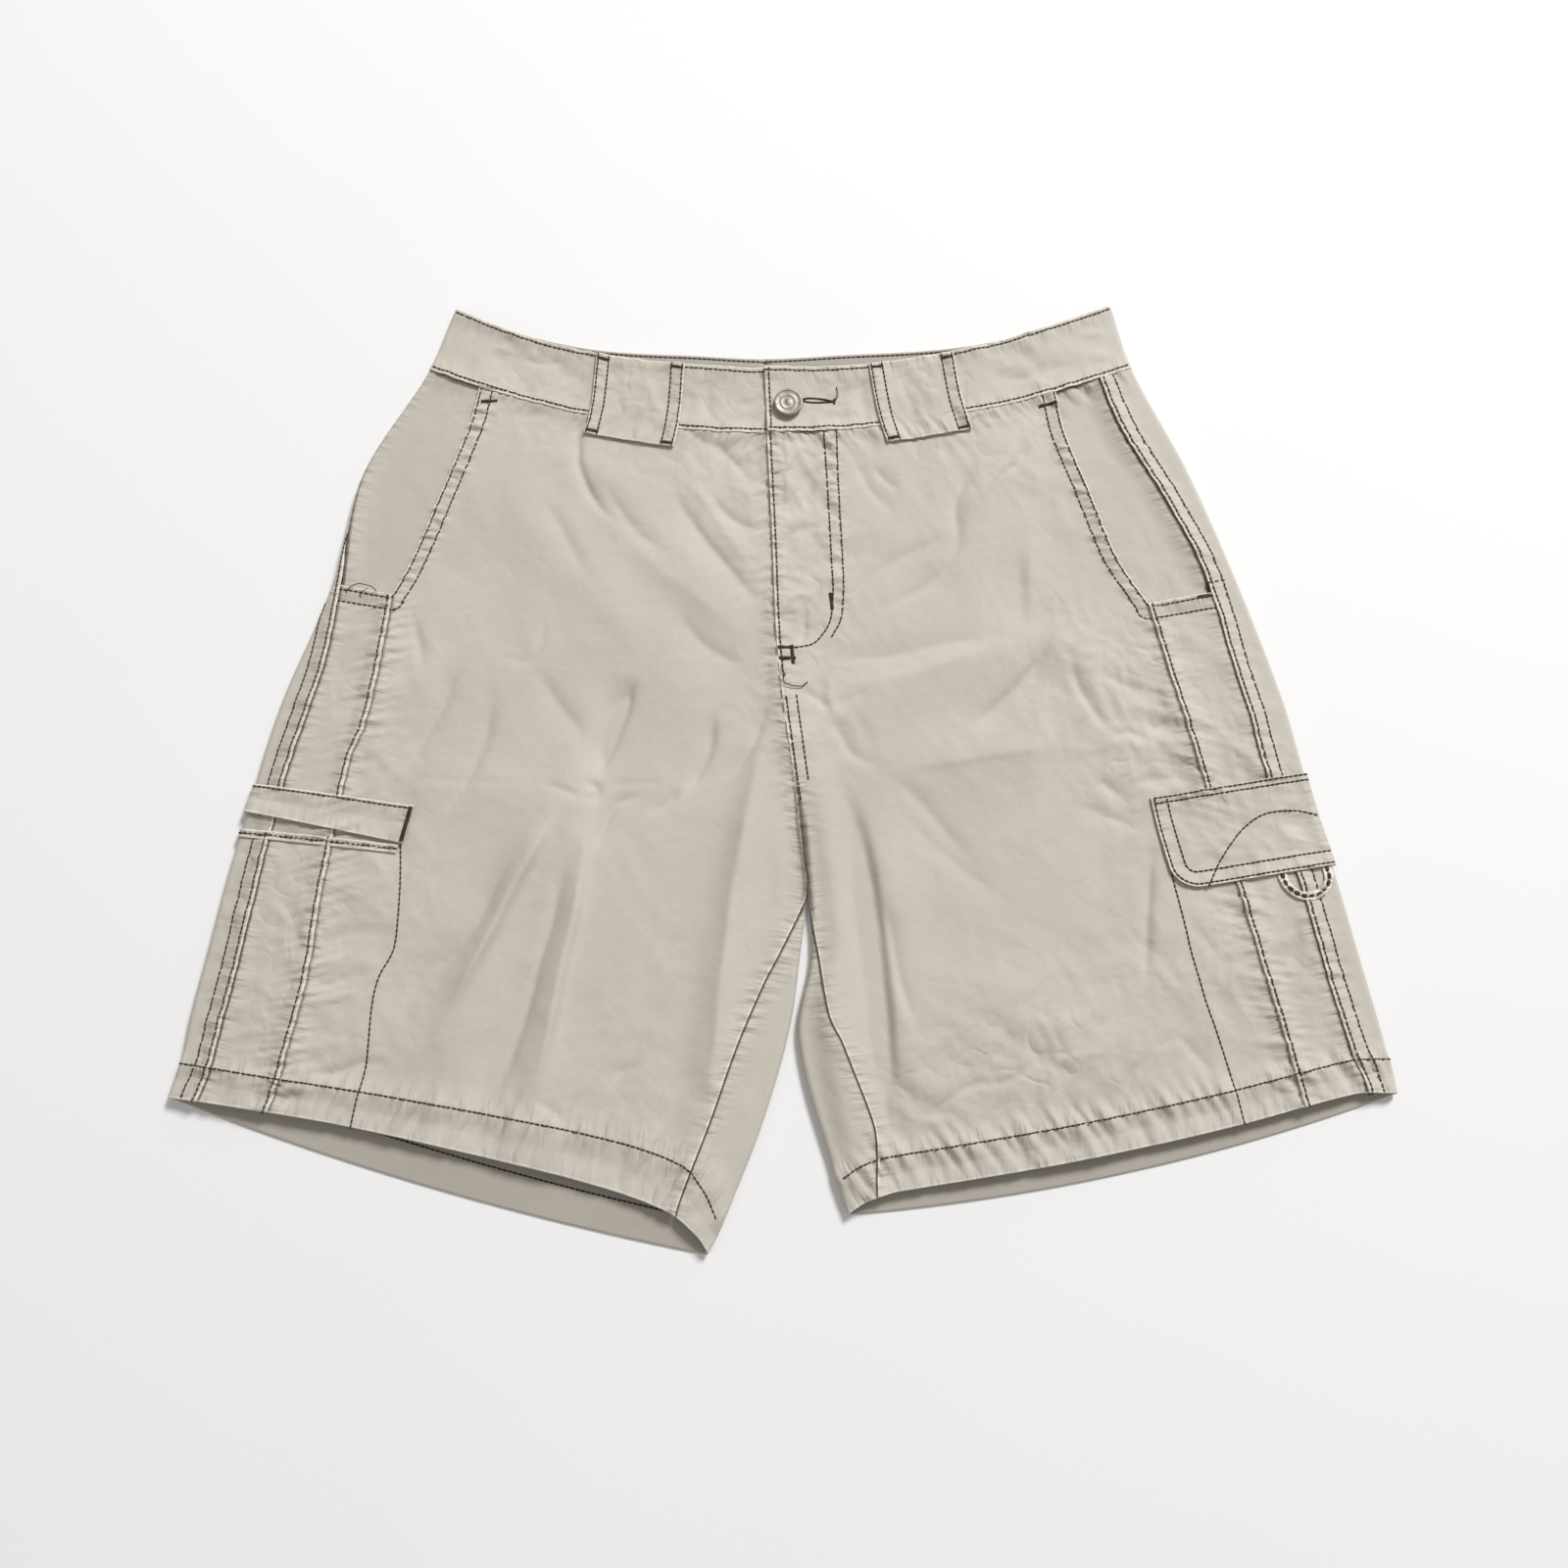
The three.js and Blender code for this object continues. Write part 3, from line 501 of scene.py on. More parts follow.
@dataclass(frozen=True)
class Relief:
    """How high the front's cloth stands, kept as a height map so that every layer follows it."""

    spacing: float = 0.9
    reach_x: float = 326.0
    reach_y: float = 276.0
    rest: float = 1.1
    fold_gain: float = 0.78
    soft_height: float = 0.5
    crumple_height: float = 2.0
    crease_gain: float = 1.3
    sharp: float = 0.35
    seed: int = 11
    plain: float = 0.16
    button: tuple[float, float, float] = (2.0, 197.0, 13.0)

    def folds(self, x: Array, y: Array) -> Array:
        """Adds up the large folds of the part's source, a little lower.

        Args:
            x, y: places in plan.

        Returns:
            The folds' height at each place.
        """
        height = np.full_like(x, self.rest)
        for fold in FOLDS:
            dx = fold.to_x - fold.from_x
            dy = fold.to_y - fold.from_y
            length = math.hypot(dx, dy)
            along = ((x - fold.from_x) * dx + (y - fold.from_y) * dy) / length**2
            aside = ((x - fold.from_x) * dy - (y - fold.from_y) * dx) / length
            ends = smooth(-0.12, 0.22, along) * (1 - smooth(0.78, 1.12, along))
            height += self.fold_gain * fold.height * ends * np.exp(-((aside / fold.width) ** 2))
        return height

    def stamp(self, height: Array, x: Array, y: Array, crease: Crease) -> None:
        """Adds one crease to the map.

        Args:
            height: the map, changed in place.
            x, y: the map's places.
            crease: what is added.
        """
        path = rounded_path(crease.path, 4)
        margin = 3 * max(crease.right, crease.left)
        low = path.min(0) - margin
        high = path.max(0) + margin
        columns = slice(*np.searchsorted(x[:, 0], [low[0], high[0]]))
        rows = slice(*np.searchsorted(y[0], [low[1], high[1]]))
        px = x[columns, rows]
        py = y[columns, rows]
        steps = np.diff(path, axis=0)
        lengths = np.hypot(steps[:, 0], steps[:, 1])
        total = lengths.sum()
        best = np.full_like(px, np.inf)
        aside = np.zeros_like(px)
        share = np.zeros_like(px)
        gone = 0.0
        for (ax, ay), (dx, dy), length in zip(path[:-1], steps, lengths):
            t = np.clip(((px - ax) * dx + (py - ay) * dy) / length**2, 0, 1)
            distance = np.hypot(px - ax - t * dx, py - ay - t * dy)
            nearer = distance < best
            sign = np.sign((py - ay) * dx - (px - ax) * dy)
            best = np.where(nearer, distance, best)
            aside = np.where(nearer, distance * sign, aside)
            share = np.where(nearer, (gone + t * length) / total, share)
            gone += length
        width = np.where(aside > 0, crease.left, crease.right)
        ends = smooth(-0.02, 0.36, share) * (1 - smooth(0.64, 1.02, share))
        away = (np.sqrt(best**2 + self.sharp**2) - self.sharp) / width
        height[columns, rows] += self.crease_gain * crease.height * ends * np.exp(-(away**1.2))

    def amount(self, x: Array, y: Array) -> Array:
        """How crumpled the cloth is at places in plan, from 0 to about 1."""
        amount = np.full_like(x, self.plain)
        for zone in CRUMPLES:
            away = ((x - zone.x) ** 2 + (y - zone.y) ** 2) / zone.reach**2
            amount += zone.amount * np.exp(-away)
        return np.minimum(amount, 1.15)

    def crumples(self, x: Array, y: Array, amount: Array) -> Array:
        """Adds soft waves and small sharp crumples.

        Args:
            x, y: places in plan.
            amount: how crumpled each place is.

        Returns:
            Their height at each place.
        """
        waves = Noise(self.seed)
        warp_x = x + 9 * waves(x / 38, y / 38)
        warp_y = y + 9 * waves(x / 38 + 40, y / 38 + 40)
        lean = 0.35 * np.sign(x) * warp_y
        soft = waves((warp_x + lean) / 34, warp_y / 62) + 0.5 * waves((warp_x - lean) / 19 + 9, warp_y / 30)
        sharp = 0.32 - np.abs(waves(warp_x / 27 + 80, warp_y / 30 + 80))
        sharp += 0.5 * (0.3 - np.abs(waves((warp_x + lean) / 13 + 20, (warp_y - lean) / 16 + 60)))
        sharp += 0.22 * (0.3 - np.abs(waves((warp_x - lean) / 7 + 5, warp_y / 8 + 33)))
        fine = waves(warp_x / 4.5, warp_y / 5.5)
        return self.soft_height * soft + self.crumple_height * amount * sharp + 0.1 * amount * fine

    def make(self) -> "HeightMap":
        """Works out the map.

        Returns:
            The finished map.
        """
        xs = np.arange(-self.reach_x, self.reach_x, self.spacing)
        ys = np.arange(-self.reach_y, self.reach_y, self.spacing)
        x, y = np.meshgrid(xs, ys, indexing="ij")
        creases = np.zeros_like(x)
        for crease in CREASES:
            self.stamp(creases, x, y, crease)
        amount = self.amount(x, y)
        away = ((x - self.button[0]) ** 2 + (y - self.button[1]) ** 2) / self.button[2] ** 2
        fine = (creases + self.crumples(x, y, amount)) * (1 - 0.85 * np.exp(-away))
        return HeightMap(self.spacing, -self.reach_x, -self.reach_y, self.folds(x, y), fine, amount)


@dataclass(frozen=True)
class HeightMap:
    """The front's heights on an even grid."""

    spacing: float
    low_x: float
    low_y: float
    main: Array
    fine: Array
    amount: Array

    def read(self, layer: Array, x: Array, y: Array) -> Array:
        """Reads one layer between its grid points.

        Args:
            layer: main, fine or amount.
            x, y: places in plan.

        Returns:
            The height at each place.
        """
        u = np.clip((x - self.low_x) / self.spacing, 0, layer.shape[0] - 1.001)
        v = np.clip((y - self.low_y) / self.spacing, 0, layer.shape[1] - 1.001)
        i = u.astype(int)
        j = v.astype(int)
        u = u - i
        v = v - j
        low = mix(layer[i, j], layer[i + 1, j], u)
        high = mix(layer[i, j + 1], layer[i + 1, j + 1], u)
        return mix(low, high, v)


def rounded_path(points: Sequence[Sequence[float]], parts: int) -> Array:
    """Draws a smooth curve through points.

    Args:
        points: the points that it passes.
        parts: how many pieces lie between two of them.

    Returns:
        The points of the curve.
    """
    given = np.array(points, float)
    ends = np.concatenate([2 * given[:1] - given[1:2], given, 2 * given[-1:] - given[-2:-1]])
    drawn = []
    for k in range(len(given) - 1):
        a, b, c, d = ends[k : k + 4]
        for t in np.arange(parts) / parts:
            even = 2 * b + (c - a) * t
            drawn.append(0.5 * (even + (2 * a - 5 * b + 4 * c - d) * t**2 + (3 * b - a - 3 * c + d) * t**3))
    drawn.append(given[-1])
    return np.array(drawn)


@dataclass(frozen=True)
class Sections:
    """A half's sections at some rows."""

    outer: Array
    inward: Array
    up: Array
    bow: Array
    width: Array
    turn: Array
    flat: Array
    length: Array


@dataclass(frozen=True)
class Pucker:
    """Fine ripples beside a line of stitches."""

    height: float
    period: float
    reach: float
    lean: float

    def rise(self, along: Array, aside: Array, noise: Noise, lane: float) -> Array:
        """Works out the ripples' height.

        Args:
            along: distance along the stitches.
            aside: distance from the stitches.
            noise: what sets the ripples apart.
            lane: keeps one seam's ripples unlike another's.

        Returns:
            The height.
        """
        place = (along + self.lean * aside) / self.period
        ripple = 2.1 * np.abs(noise(place, lane + 0.37 + aside / (4 * self.reach))) - 0.5
        ripple += 0.5 * noise(place * 1.9, lane + 7.3)
        return self.height * ripple * np.exp(-((aside / self.reach) ** 2))


SEAM_PUCKER = Pucker(1.05, 5.2, 7.0, 0.35)
PANEL_PUCKER = Pucker(1.1, 5.6, 13.0, 0.45)
MOUTH_PUCKER = Pucker(1.6, 4.4, 5.0, 0.1)
FLY_PUCKER = Pucker(1.0, 4.8, 9.0, 0.5)
FLY_ROW_PUCKER = Pucker(1.8, 4.4, 4.5, 0.15)
HEM_PUCKER = Pucker(1.9, 8.0, 12.0, 0.35)
WAIST_PUCKER = Pucker(0.9, 6.5, 11.0, 0.3)


@dataclass(frozen=True)
class Half:
    """One half of the shorts and the mid surface that all its cloth is built on."""

    side: Side
    heights: HeightMap
    noise: Noise

    def column(self, name: str) -> TableCurve:
        """A curve down the leg through one column of the sections."""
        return TableCurve(tuple((row.down, getattr(row, name)) for row in SECTIONS[self.side]))

    def sections(self, down: Array) -> Sections:
        """Works out the sections at some rows.

        Args:
            down: the rows.

        Returns:
            Their sections.
        """
        outer = np.stack([self.column("outer_x")(down), self.column("outer_y")(down)], -1)
        inner = np.stack([self.column("inner_x")(down), self.column("inner_y")(down)], -1)
        span = np.linalg.norm(inner - outer, axis=-1)
        inward = (inner - outer) / span[..., None]
        up = np.stack([-inward[..., 1], inward[..., 0]], -1)
        up = np.where(up[..., 1:] < 0, -up, up)
        turn = math.pi / 2 * smooth(TURN_START, CROTCH, down)
        width = span - HALF - (HALF + SEAM_GAP / 2) * np.sin(turn)
        flat = width - FOLD_RADIUS - FOLD_RADIUS * np.sin(turn)
        length = QUARTER_FOLD + flat + FOLD_RADIUS * turn
        bow = self.column("bow")(down)
        return Sections(outer + inward * HALF, inward, up, bow, width, turn, flat, length)

    def length(self, down: Array | float) -> Array:
        """The distance round the top from the outer fold to the centre or inner fold."""
        return self.sections(np.asarray(down, float)).length

    def hem_row(self, across: Array) -> Array:
        """Finds the row of the hem's edge.

        Args:
            across: distance round the hem's section.

        Returns:
            The row that the hem reaches there.
        """
        length = self.length(HEM)
        wrapped = np.where(across < -length, across + 2 * length, across)
        return np.where(wrapped < 0, HEM, FRONT_HEM[self.side](np.clip(wrapped / length, 0, 1)))

    def ripples(self, run: Array, down: Array, length: Array) -> Array:
        """Adds up the puckers beside the seams of the top layer.

        Args:
            run: distance from the outer fold.
            down: the row.
            length: the section's length from fold to fold.

        Returns:
            Their height.
        """
        below = smooth(SIDE_PANEL_TOP - 6, SIDE_PANEL_TOP + 6, down)
        lane = 10.0 if self.side is Side.LEFT else 60.0
        seams = [
            (OUTSEAM[self.side](down) - 4.3, SEAM_PUCKER, 1.0),
            (SIDE_SEAM[self.side](np.maximum(down, SIDE_PANEL_TOP)), PANEL_PUCKER, below),
            (POCKET_MOUTH[self.side](np.clip(down, 0, SIDE_PANEL_TOP)) + 4.7, MOUTH_PUCKER, 1 - below),
            (length - np.where(down > CROTCH, INSEAM[self.side](down), 0), SEAM_PUCKER,
             INSEAM_PUCKERING * smooth(250, 290, down)),
            (length, FLY_PUCKER, 1 - smooth(225, 262, down)),
        ]
        if self.side is Side.LEFT:
            seams.append((length - 34.5, FLY_ROW_PUCKER, 1 - smooth(108, 126, down)))
        rise = np.zeros_like(run)
        for number, (seam, pucker, share) in enumerate(seams):
            rise += share * pucker.rise(down, run - seam, self.noise, lane + 9.0 * number)
        hem = self.hem_row(run) - HEM_DEPTH
        rise += HEM_PUCKER.rise(run, down - hem - 4, self.noise, lane + 70.0)
        rise += WAIST_PUCKER.rise(run, down - 3, self.noise, lane + 80.0)
        rise += WAIST_PUCKER.rise(run, down + 35, self.noise, lane + 90.0)
        return rise * mix(0.6, 1, smooth(-10, 6, down))

    def mouth(self, across: Array, down: Array) -> Array:
        """How far inside the right cargo pocket's open mouth each place lies, from 0 to 1."""
        if self.side is Side.LEFT:
            return 0 * across
        share = np.clip(across / LIP_REACH, 0, 1)
        above = smooth(-1.5, 0.5, down - mix(*BAND_ROWS[1], share))
        below = smooth(-1.5, 0.5, mix(*LIP_ROWS[0], share) - down)
        return above * below * smooth(-6, 0, across) * (1 - smooth(70, 83, across))

    def at(self, across: Array, down: Array) -> tuple[Array, Array]:
        """Finds places on the mid surface.

        Args:
            across: distance round the section from the outer fold.
            down: the row.

        Returns:
            The points and the outward normals.
        """
        across, down = np.broadcast_arrays(np.asarray(across, float), np.asarray(down, float))
        s = self.sections(down)
        wraps = (down > CROTCH) & (across < -s.length)
        across = np.where(wraps, across + 2 * s.length, across)
        side = np.where(across < 0, -1.0, 1.0)
        run = np.abs(across)
        outer_angle = np.minimum(run, QUARTER_FOLD) / FOLD_RADIUS
        inner_angle = np.minimum(np.maximum(run - QUARTER_FOLD - s.flat, 0) / FOLD_RADIUS, s.turn)
        past = np.maximum(run - s.length, 0)
        where = [run < QUARTER_FOLD, run < QUARTER_FOLD + s.flat]
        inner_inset = s.width - FOLD_RADIUS * (np.sin(s.turn) - np.sin(inner_angle)) + past
        outer_inset = FOLD_RADIUS * (1 - np.cos(outer_angle))
        inset = np.select(where, [outer_inset, FOLD_RADIUS + run - QUARTER_FOLD], inner_inset)
        outer_level = FOLD_RADIUS * np.sin(outer_angle)
        level = np.select(where, [outer_level, FOLD_RADIUS], FOLD_RADIUS * np.cos(inner_angle))
        tilt_in = np.select(where, [-np.cos(outer_angle), 0.0], np.sin(inner_angle))
        tilt_up = np.select(where, [np.sin(outer_angle), 1.0], np.cos(inner_angle))
        share = inset / s.width
        plan = s.outer + s.inward * inset[..., None] + s.up * (s.bow * 4 * share * (1 - share))[..., None]
        x = plan[..., 0]
        y = plan[..., 1]
        inner_room = QUARTER_FOLD + s.flat - run
        turned = s.turn / (math.pi / 2)
        main = smooth(0, 26, run - QUARTER_FOLD) * mix(1, smooth(0, 13, inner_room), turned)
        main *= mix(0.25, 1, smooth(0, 45, down))
        fine = smooth(-2, 10, run - QUARTER_FOLD) * mix(1, smooth(0, 9, inner_room), turned)
        fine *= mix(0.8, 1, smooth(-6, 12, down))
        lift = main * self.heights.read(self.heights.main, x, y)
        lift += fine * self.heights.read(self.heights.fine, x, y)
        rippled = smooth(0, 4, run - QUARTER_FOLD) * mix(1, smooth(0, 5, inner_room), turned)
        lift += rippled * self.ripples(run, down, s.length)
        lift = np.where(side > 0, np.maximum(lift, -1.2), 0)
        points = np.stack([x, y, HALF + FOLD_RADIUS + side * level + lift], -1)
        normals = np.stack([s.inward[..., 0] * tilt_in, s.inward[..., 1] * tilt_in, side * tilt_up], -1)
        return points, normals


def part_shift() -> Array:
    """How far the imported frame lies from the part's own, in millimetres."""
    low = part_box("back_right")[0]
    return np.array([low.x / MM - BACK_RIGHT_CORNER[0], low.y / MM - BACK_RIGHT_CORNER[1], 0.0])


SHIFT = part_shift()


def mesh_from(name: str, points: Array, quads: Array) -> Mesh:
    """Makes a mesh of four-sided faces.

    Args:
        name: the mesh's name.
        points: its vertices in the part's millimetres.
        quads: four vertices for each face.

    Returns:
        The mesh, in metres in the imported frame.
    """
    mesh = bpy.data.meshes.new(name)
    places = (points + SHIFT) * MM
    mesh.vertices.add(len(places))
    mesh.vertices.foreach_set("co", places.astype(np.float32).ravel())
    mesh.loops.add(quads.size)
    mesh.loops.foreach_set("vertex_index", quads.astype(np.int32).ravel())
    mesh.polygons.add(len(quads))
    mesh.polygons.foreach_set("loop_start", np.arange(0, quads.size, 4, dtype=np.int32))
    mesh.update(calc_edges=True)
    mesh.validate()
    mesh.shade_smooth()
    return mesh


def signed_volume(points: Array, quads: Array) -> float:
    """The volume inside closed faces, negative where they point inwards."""
    total = 0.0
    for corners in (quads[:, [0, 1, 2]], quads[:, [0, 2, 3]]):
        a, b, c = (points[corners[:, k]] for k in range(3))
        total += float(np.einsum("ij,ij->i", a, np.cross(b, c)).sum()) / 6
    return total


def linked(name: str, data: ID) -> Object:
    """Adds an object to the scene.

    Args:
        name: its name.
        data: its mesh, light or camera.

    Returns:
        The object.
    """
    added = bpy.data.objects.new(name, data)
    bpy.context.scene.collection.objects.link(added)
    return added


def place(name: str, mesh: Mesh, slot: str, nodes: Sequence[str] = ()) -> Object:
    """Adds a finished piece to the scene.

    Args:
        name: the piece's name.
        mesh: its mesh.
        slot: not used.
        nodes: the CAD nodes that it stands for.

    Returns:
        The piece.
    """
    piece = linked(name, mesh)
    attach(piece, "root")
    if nodes:
        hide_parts(*nodes)
    return piece


@dataclass
class Panel:
    """A closed wall of cloth over a grid of places on one half."""

    name: str
    half: Half
    across: Array
    down: Array
    outer: Array
    inner: Array
    worn_highlit: tuple[Edge, ...]
    flat: Pair
    # The painted shade: shade and mouth_shade darken the colour where shade falls, and grooved edges get
    # painted shade in their groove.
    shade: float | Array = 0.0
    grooved: tuple[Edge, ...] = ()
    groove_from: float = -100.0
    groove: Pair = (1.5, 2.2)
    mouth_shade: float = 0.0

    def edge_distance(self, edge: Edge) -> Array:
        """The distance of each place from one edge of the grid."""
        if edge is Edge.START:
            return np.abs(self.across - self.across[:1])
        if edge is Edge.END:
            return np.abs(self.across[-1:] - self.across)
        if edge is Edge.TOP:
            return np.abs(self.down - self.down[:, :1])
        return np.abs(self.down[:, -1:] - self.down)

    def build(self, material: Material, slot: str = "cloth") -> Object:
        """Makes the wall, with round edges and a pale bead of rubbing and painted highlight on the edges
        named.

        Args:
            material: its finish.
            slot: handed to place, which does not use it.

        Returns:
            The piece.
        """
        nearest = np.min([self.edge_distance(edge) for edge in Edge], axis=0)
        # The pale bead along these edges is partly rubbed cloth and partly a painted highlight on the fold.
        wear_and_highlight = np.zeros_like(nearest)
        for edge in self.worn_highlit:
            wear_and_highlight = np.maximum(wear_and_highlight, 1 - smooth(*BEAD, self.edge_distance(edge)))
        middle = (self.outer + self.inner) / 2
        ease = np.sqrt(np.clip(1 - (1 - np.minimum(nearest / EDGE_ROUND, 1)) ** 2, 0, 1))
        outer = middle + (self.outer - middle) * mix(0.15, 1, ease) + BEAD_RISE * wear_and_highlight * ease
        inner = middle + (self.inner - middle) * mix(0.15, 1, ease)
        centre, normal = self.half.at(self.across, self.down)
        faces = [centre + normal * outer[..., None], centre + normal * inner[..., None]]
        columns, rows = self.across.shape
        index = np.arange(2 * columns * rows).reshape(2, columns, rows)
        top, under = index
        quads = [
            (top[:-1, :-1], top[1:, :-1], top[1:, 1:], top[:-1, 1:]),
            (under[:-1, :-1], under[:-1, 1:], under[1:, 1:], under[1:, :-1]),
            (under[:-1, 0], under[1:, 0], top[1:, 0], top[:-1, 0]),
            (top[:-1, -1], top[1:, -1], under[1:, -1], under[:-1, -1]),
            (top[0, :-1], top[0, 1:], under[0, 1:], under[0, :-1]),
            (under[-1, :-1], under[-1, 1:], top[-1, 1:], top[-1, :-1]),
        ]
        all_quads = np.concatenate([np.stack([corner.ravel() for corner in quad], -1) for quad in quads])
        points = np.concatenate([face.reshape(-1, 3) for face in faces])
        if signed_volume(points, all_quads) < 0:
            all_quads = all_quads[:, ::-1]
        mesh = mesh_from(self.name, points, all_quads)
        rough = self.half.heights.read(self.half.heights.amount, centre[..., 0], centre[..., 1])
        self.mark(mesh, wear_and_highlight, rough)
        mesh.materials.append(material)
        piece = place(f"{self.name}_cloth", mesh, slot, [self.name])
        LOG.info("%s: %d faces", piece.name, len(mesh.polygons))
        return piece

    def pucker(self, edges: Sequence[Edge], inset: float = 0.0) -> Array:
        """How strongly the cloth puckers beside stitches along some edges, from 0 to 1."""
        away = np.min([np.abs(self.edge_distance(edge) - inset) for edge in edges], axis=0)
        return np.exp(-((away / PUCKER_REACH) ** 2))

    def mark(self, mesh: Mesh, wear_and_highlight: Array, rough: Array) -> None:
        """Writes the grain's map, the pale edges of rubbing and painted highlight, the painted shade,
        crumples and puckers.

        Args:
            mesh: what is written to.
            wear_and_highlight: how strongly each place takes the pale edge, partly rubbed cloth and partly
                painted highlight.
            rough: how crumpled each place is.
        """
        grain = np.stack([self.across.ravel(), self.down.ravel()], -1) * MM
        grain = np.concatenate([grain, grain])
        corners = np.zeros(len(mesh.loops), np.int32)
        mesh.loops.foreach_get("vertex_index", corners)
        layer = mesh.uv_layers.new(name="grain")
        layer.uv.foreach_set("vector", grain[corners].astype(np.float32).ravel())
        # Painted shade in the cargo pocket's mouth and along the seams' grooves.
        shade = np.maximum(self.shade, self.mouth_shade * self.half.mouth(self.across, self.down))
        for edge in self.grooved:
            near = (1 - smooth(*self.groove, self.edge_distance(edge))) * (self.down > self.groove_from)
            shade = np.maximum(shade, GROOVE_SHADE * near)
        down_seams = self.pucker((Edge.START, Edge.END))
        across_seams = self.pucker((Edge.TOP, Edge.BOTTOM))
        if self.down.max() > HEM - 30:
            across_seams = np.maximum(across_seams, self.pucker((Edge.BOTTOM,), HEM_DEPTH))
        # The inner faces take an even painted shade.
        marks = {
            "wear_and_highlight": (wear_and_highlight, 0 * wear_and_highlight),
            "shade": (shade, np.full_like(wear_and_highlight, INSIDE_SHADE)),
            "crumple": (rough, 0 * wear_and_highlight),
            "pucker_down": (down_seams, 0 * wear_and_highlight),
            "pucker_across": (across_seams, 0 * wear_and_highlight),
        }
        for key, faces in marks.items():
            layer = mesh.attributes.new(key, "FLOAT", "POINT")
            values = np.concatenate([face.ravel() for face in faces])
            layer.data.foreach_set("value", values.astype(np.float32))


def lap(distance: Array) -> Array:
    """How far an edge that laps its neighbour is raised at a distance from it."""
    return LAP_LIFT * smooth(*LAP_RAMP, distance)


@dataclass(frozen=True)
class Leg:
    """The main panels of one half: front, side panel, back and pocket facing."""

    half: Half
    fly_lap: float = 8.0
    fly_lift: float = 1.8
    facing_thick: float = 0.8
    facing_drop: float = 1.45
    facing_under: float = 8.0
    facing_tuck: float = 6.0
    # The width and depth of the painted shade along the parting between the legs, and the painted shade in
    # the pocket mouth.
    parting_width: float = 4.2
    parting_shade: float = 0.85
    mouth_shade: float = 0.22

    def hem_extra(self, across: Array, down: Array) -> Array:
        """How much thicker the turned hem is."""
        return HEM_THICK * smooth(-1.6, 0.2, down - (self.half.hem_row(across) - HEM_DEPTH))

    def grid(self, edges: Callable[[Array], tuple[Array, Array]], width: float,
             top: float) -> tuple[Array, Array]:
        """Lays a panel's grid between two seams, from a row to the hem.

        Args:
            edges: gives the first and last place across at a row.
            width: about how wide the panel is.
            top: its first row.

        Returns:
            The grid's across and down.
        """
        shares = spaced(width)[:, None]
        first, last = edges(np.array(HEM))
        bottom = self.half.hem_row(mix(first, last, shares[:, 0]))[:, None]
        down = mix(top, bottom, spaced(HEM - top)[None, :])
        first, last = edges(down)
        return mix(first, last, shares), down

    def front(self) -> Panel:
        """Builds the main front, from the pocket mouth and side seam to the centre and inseam.

        Returns:
            The panel.
        """
        side = self.half.side
        on_top = side is Side.LEFT

        def edges(down: Array) -> tuple[Array, Array]:
            """The front's outer and inner edges at a row."""
            mouth = POCKET_MOUTH[side](down)
            seam = SIDE_SEAM[side](down) + SEAM_GAP / 2
            outer = np.where(down < SIDE_PANEL_TOP, mouth, seam)
            inseam = np.where(down > CROTCH, INSEAM[side](down), 0)
            under = self.fly_lap * (1 - smooth(84, 104, down))
            if on_top:
                under = LAP_OVER * (1 - smooth(240, 262, down))
            return outer, self.half.length(down) - inseam - 0.2 + under

        across, down = self.grid(edges, 235, SEAM_GAP)
        from_centre = self.half.length(down) - across
        lift = np.zeros_like(across)
        if on_top:
            flown = mix(LAP_LIFT, self.fly_lift, 1 - smooth(108, 129, down))
            lift = flown * (1 - smooth(9, 24, from_centre)) * (1 - smooth(244, 264, down))
        extra = self.hem_extra(across, down)
        # Painted shade along the parting between the legs, below the crotch's turn.
        parting = self.parting_width * smooth(188, 245, down) * (1 - smooth(272, 300, down)) + 0.01
        shade = self.parting_shade * (1 - smooth(0.4, 1.0, from_centre / parting)) * (down > TURN_START)
        return Panel(f"front_{side.value}", self.half, across, down, OUTER + lift + extra,
                     INNER + lift - extra, (Edge.START, Edge.END, Edge.BOTTOM), (0.245, 0.437), shade=shade,
                     grooved=(Edge.START,), groove_from=SIDE_PANEL_TOP, mouth_shade=self.mouth_shade)

    def side_panel(self) -> Panel:
        """Builds the narrow panel that laps over the front below the pocket.

        Returns:
            The panel.
        """
        side = self.half.side

        def edges(down: Array) -> tuple[Array, Array]:
            """The panel's outer and inner edges at a row."""
            return OUTSEAM[side](down) + SEAM_GAP / 2, SIDE_SEAM[side](down) + LAP_OVER

        across, down = self.grid(edges, 33, SIDE_PANEL_TOP - LAP_OVER)
        lift = np.maximum(lap(SIDE_SEAM[side](down) + LAP_OVER - across), 0.4 * lap(down - SIDE_PANEL_TOP))
        extra = self.hem_extra(across, down)
        return Panel(f"side_panel_{side.value}", self.half, across, down, OUTER + lift + extra,
                     INNER + lift - extra, (Edge.END, Edge.TOP, Edge.BOTTOM), (0.034, 0.299),
                     grooved=(Edge.START,), mouth_shade=self.mouth_shade)

    def back(self) -> Panel:
        """Builds the back, from the outseam round the outer fold and underside up to the inseam.

        Returns:
            The panel.
        """
        side = self.half.side
        shares = spaced(HEM, 2.3)
        near = np.array(EDGE_STEPS) / 20

        def places(down: Array) -> Array:
            """The back's places across at some rows, one column for each."""
            length = self.half.length(down)
            top = OUTSEAM[side](down) + LAP_OVER
            marks = [
                top,
                np.minimum(QUARTER_FOLD, top - HALF),
                -QUARTER_FOLD + 0 * length,
                QUARTER_FOLD + 2 - length,
                0.2 - length - np.where(down > CROTCH, INSEAM[side](down), 0),
            ]
            shares = [
                np.unique(np.concatenate([near, np.linspace(near[-1], 1, 9)])),
                np.linspace(0, 1, 15)[1:],
                np.linspace(0, 1, 25)[1:],
                np.concatenate([np.linspace(0, 1, 24)[1:-1], [0.98, 0.99, 1]]),
            ]
            return stretched(marks, shares)

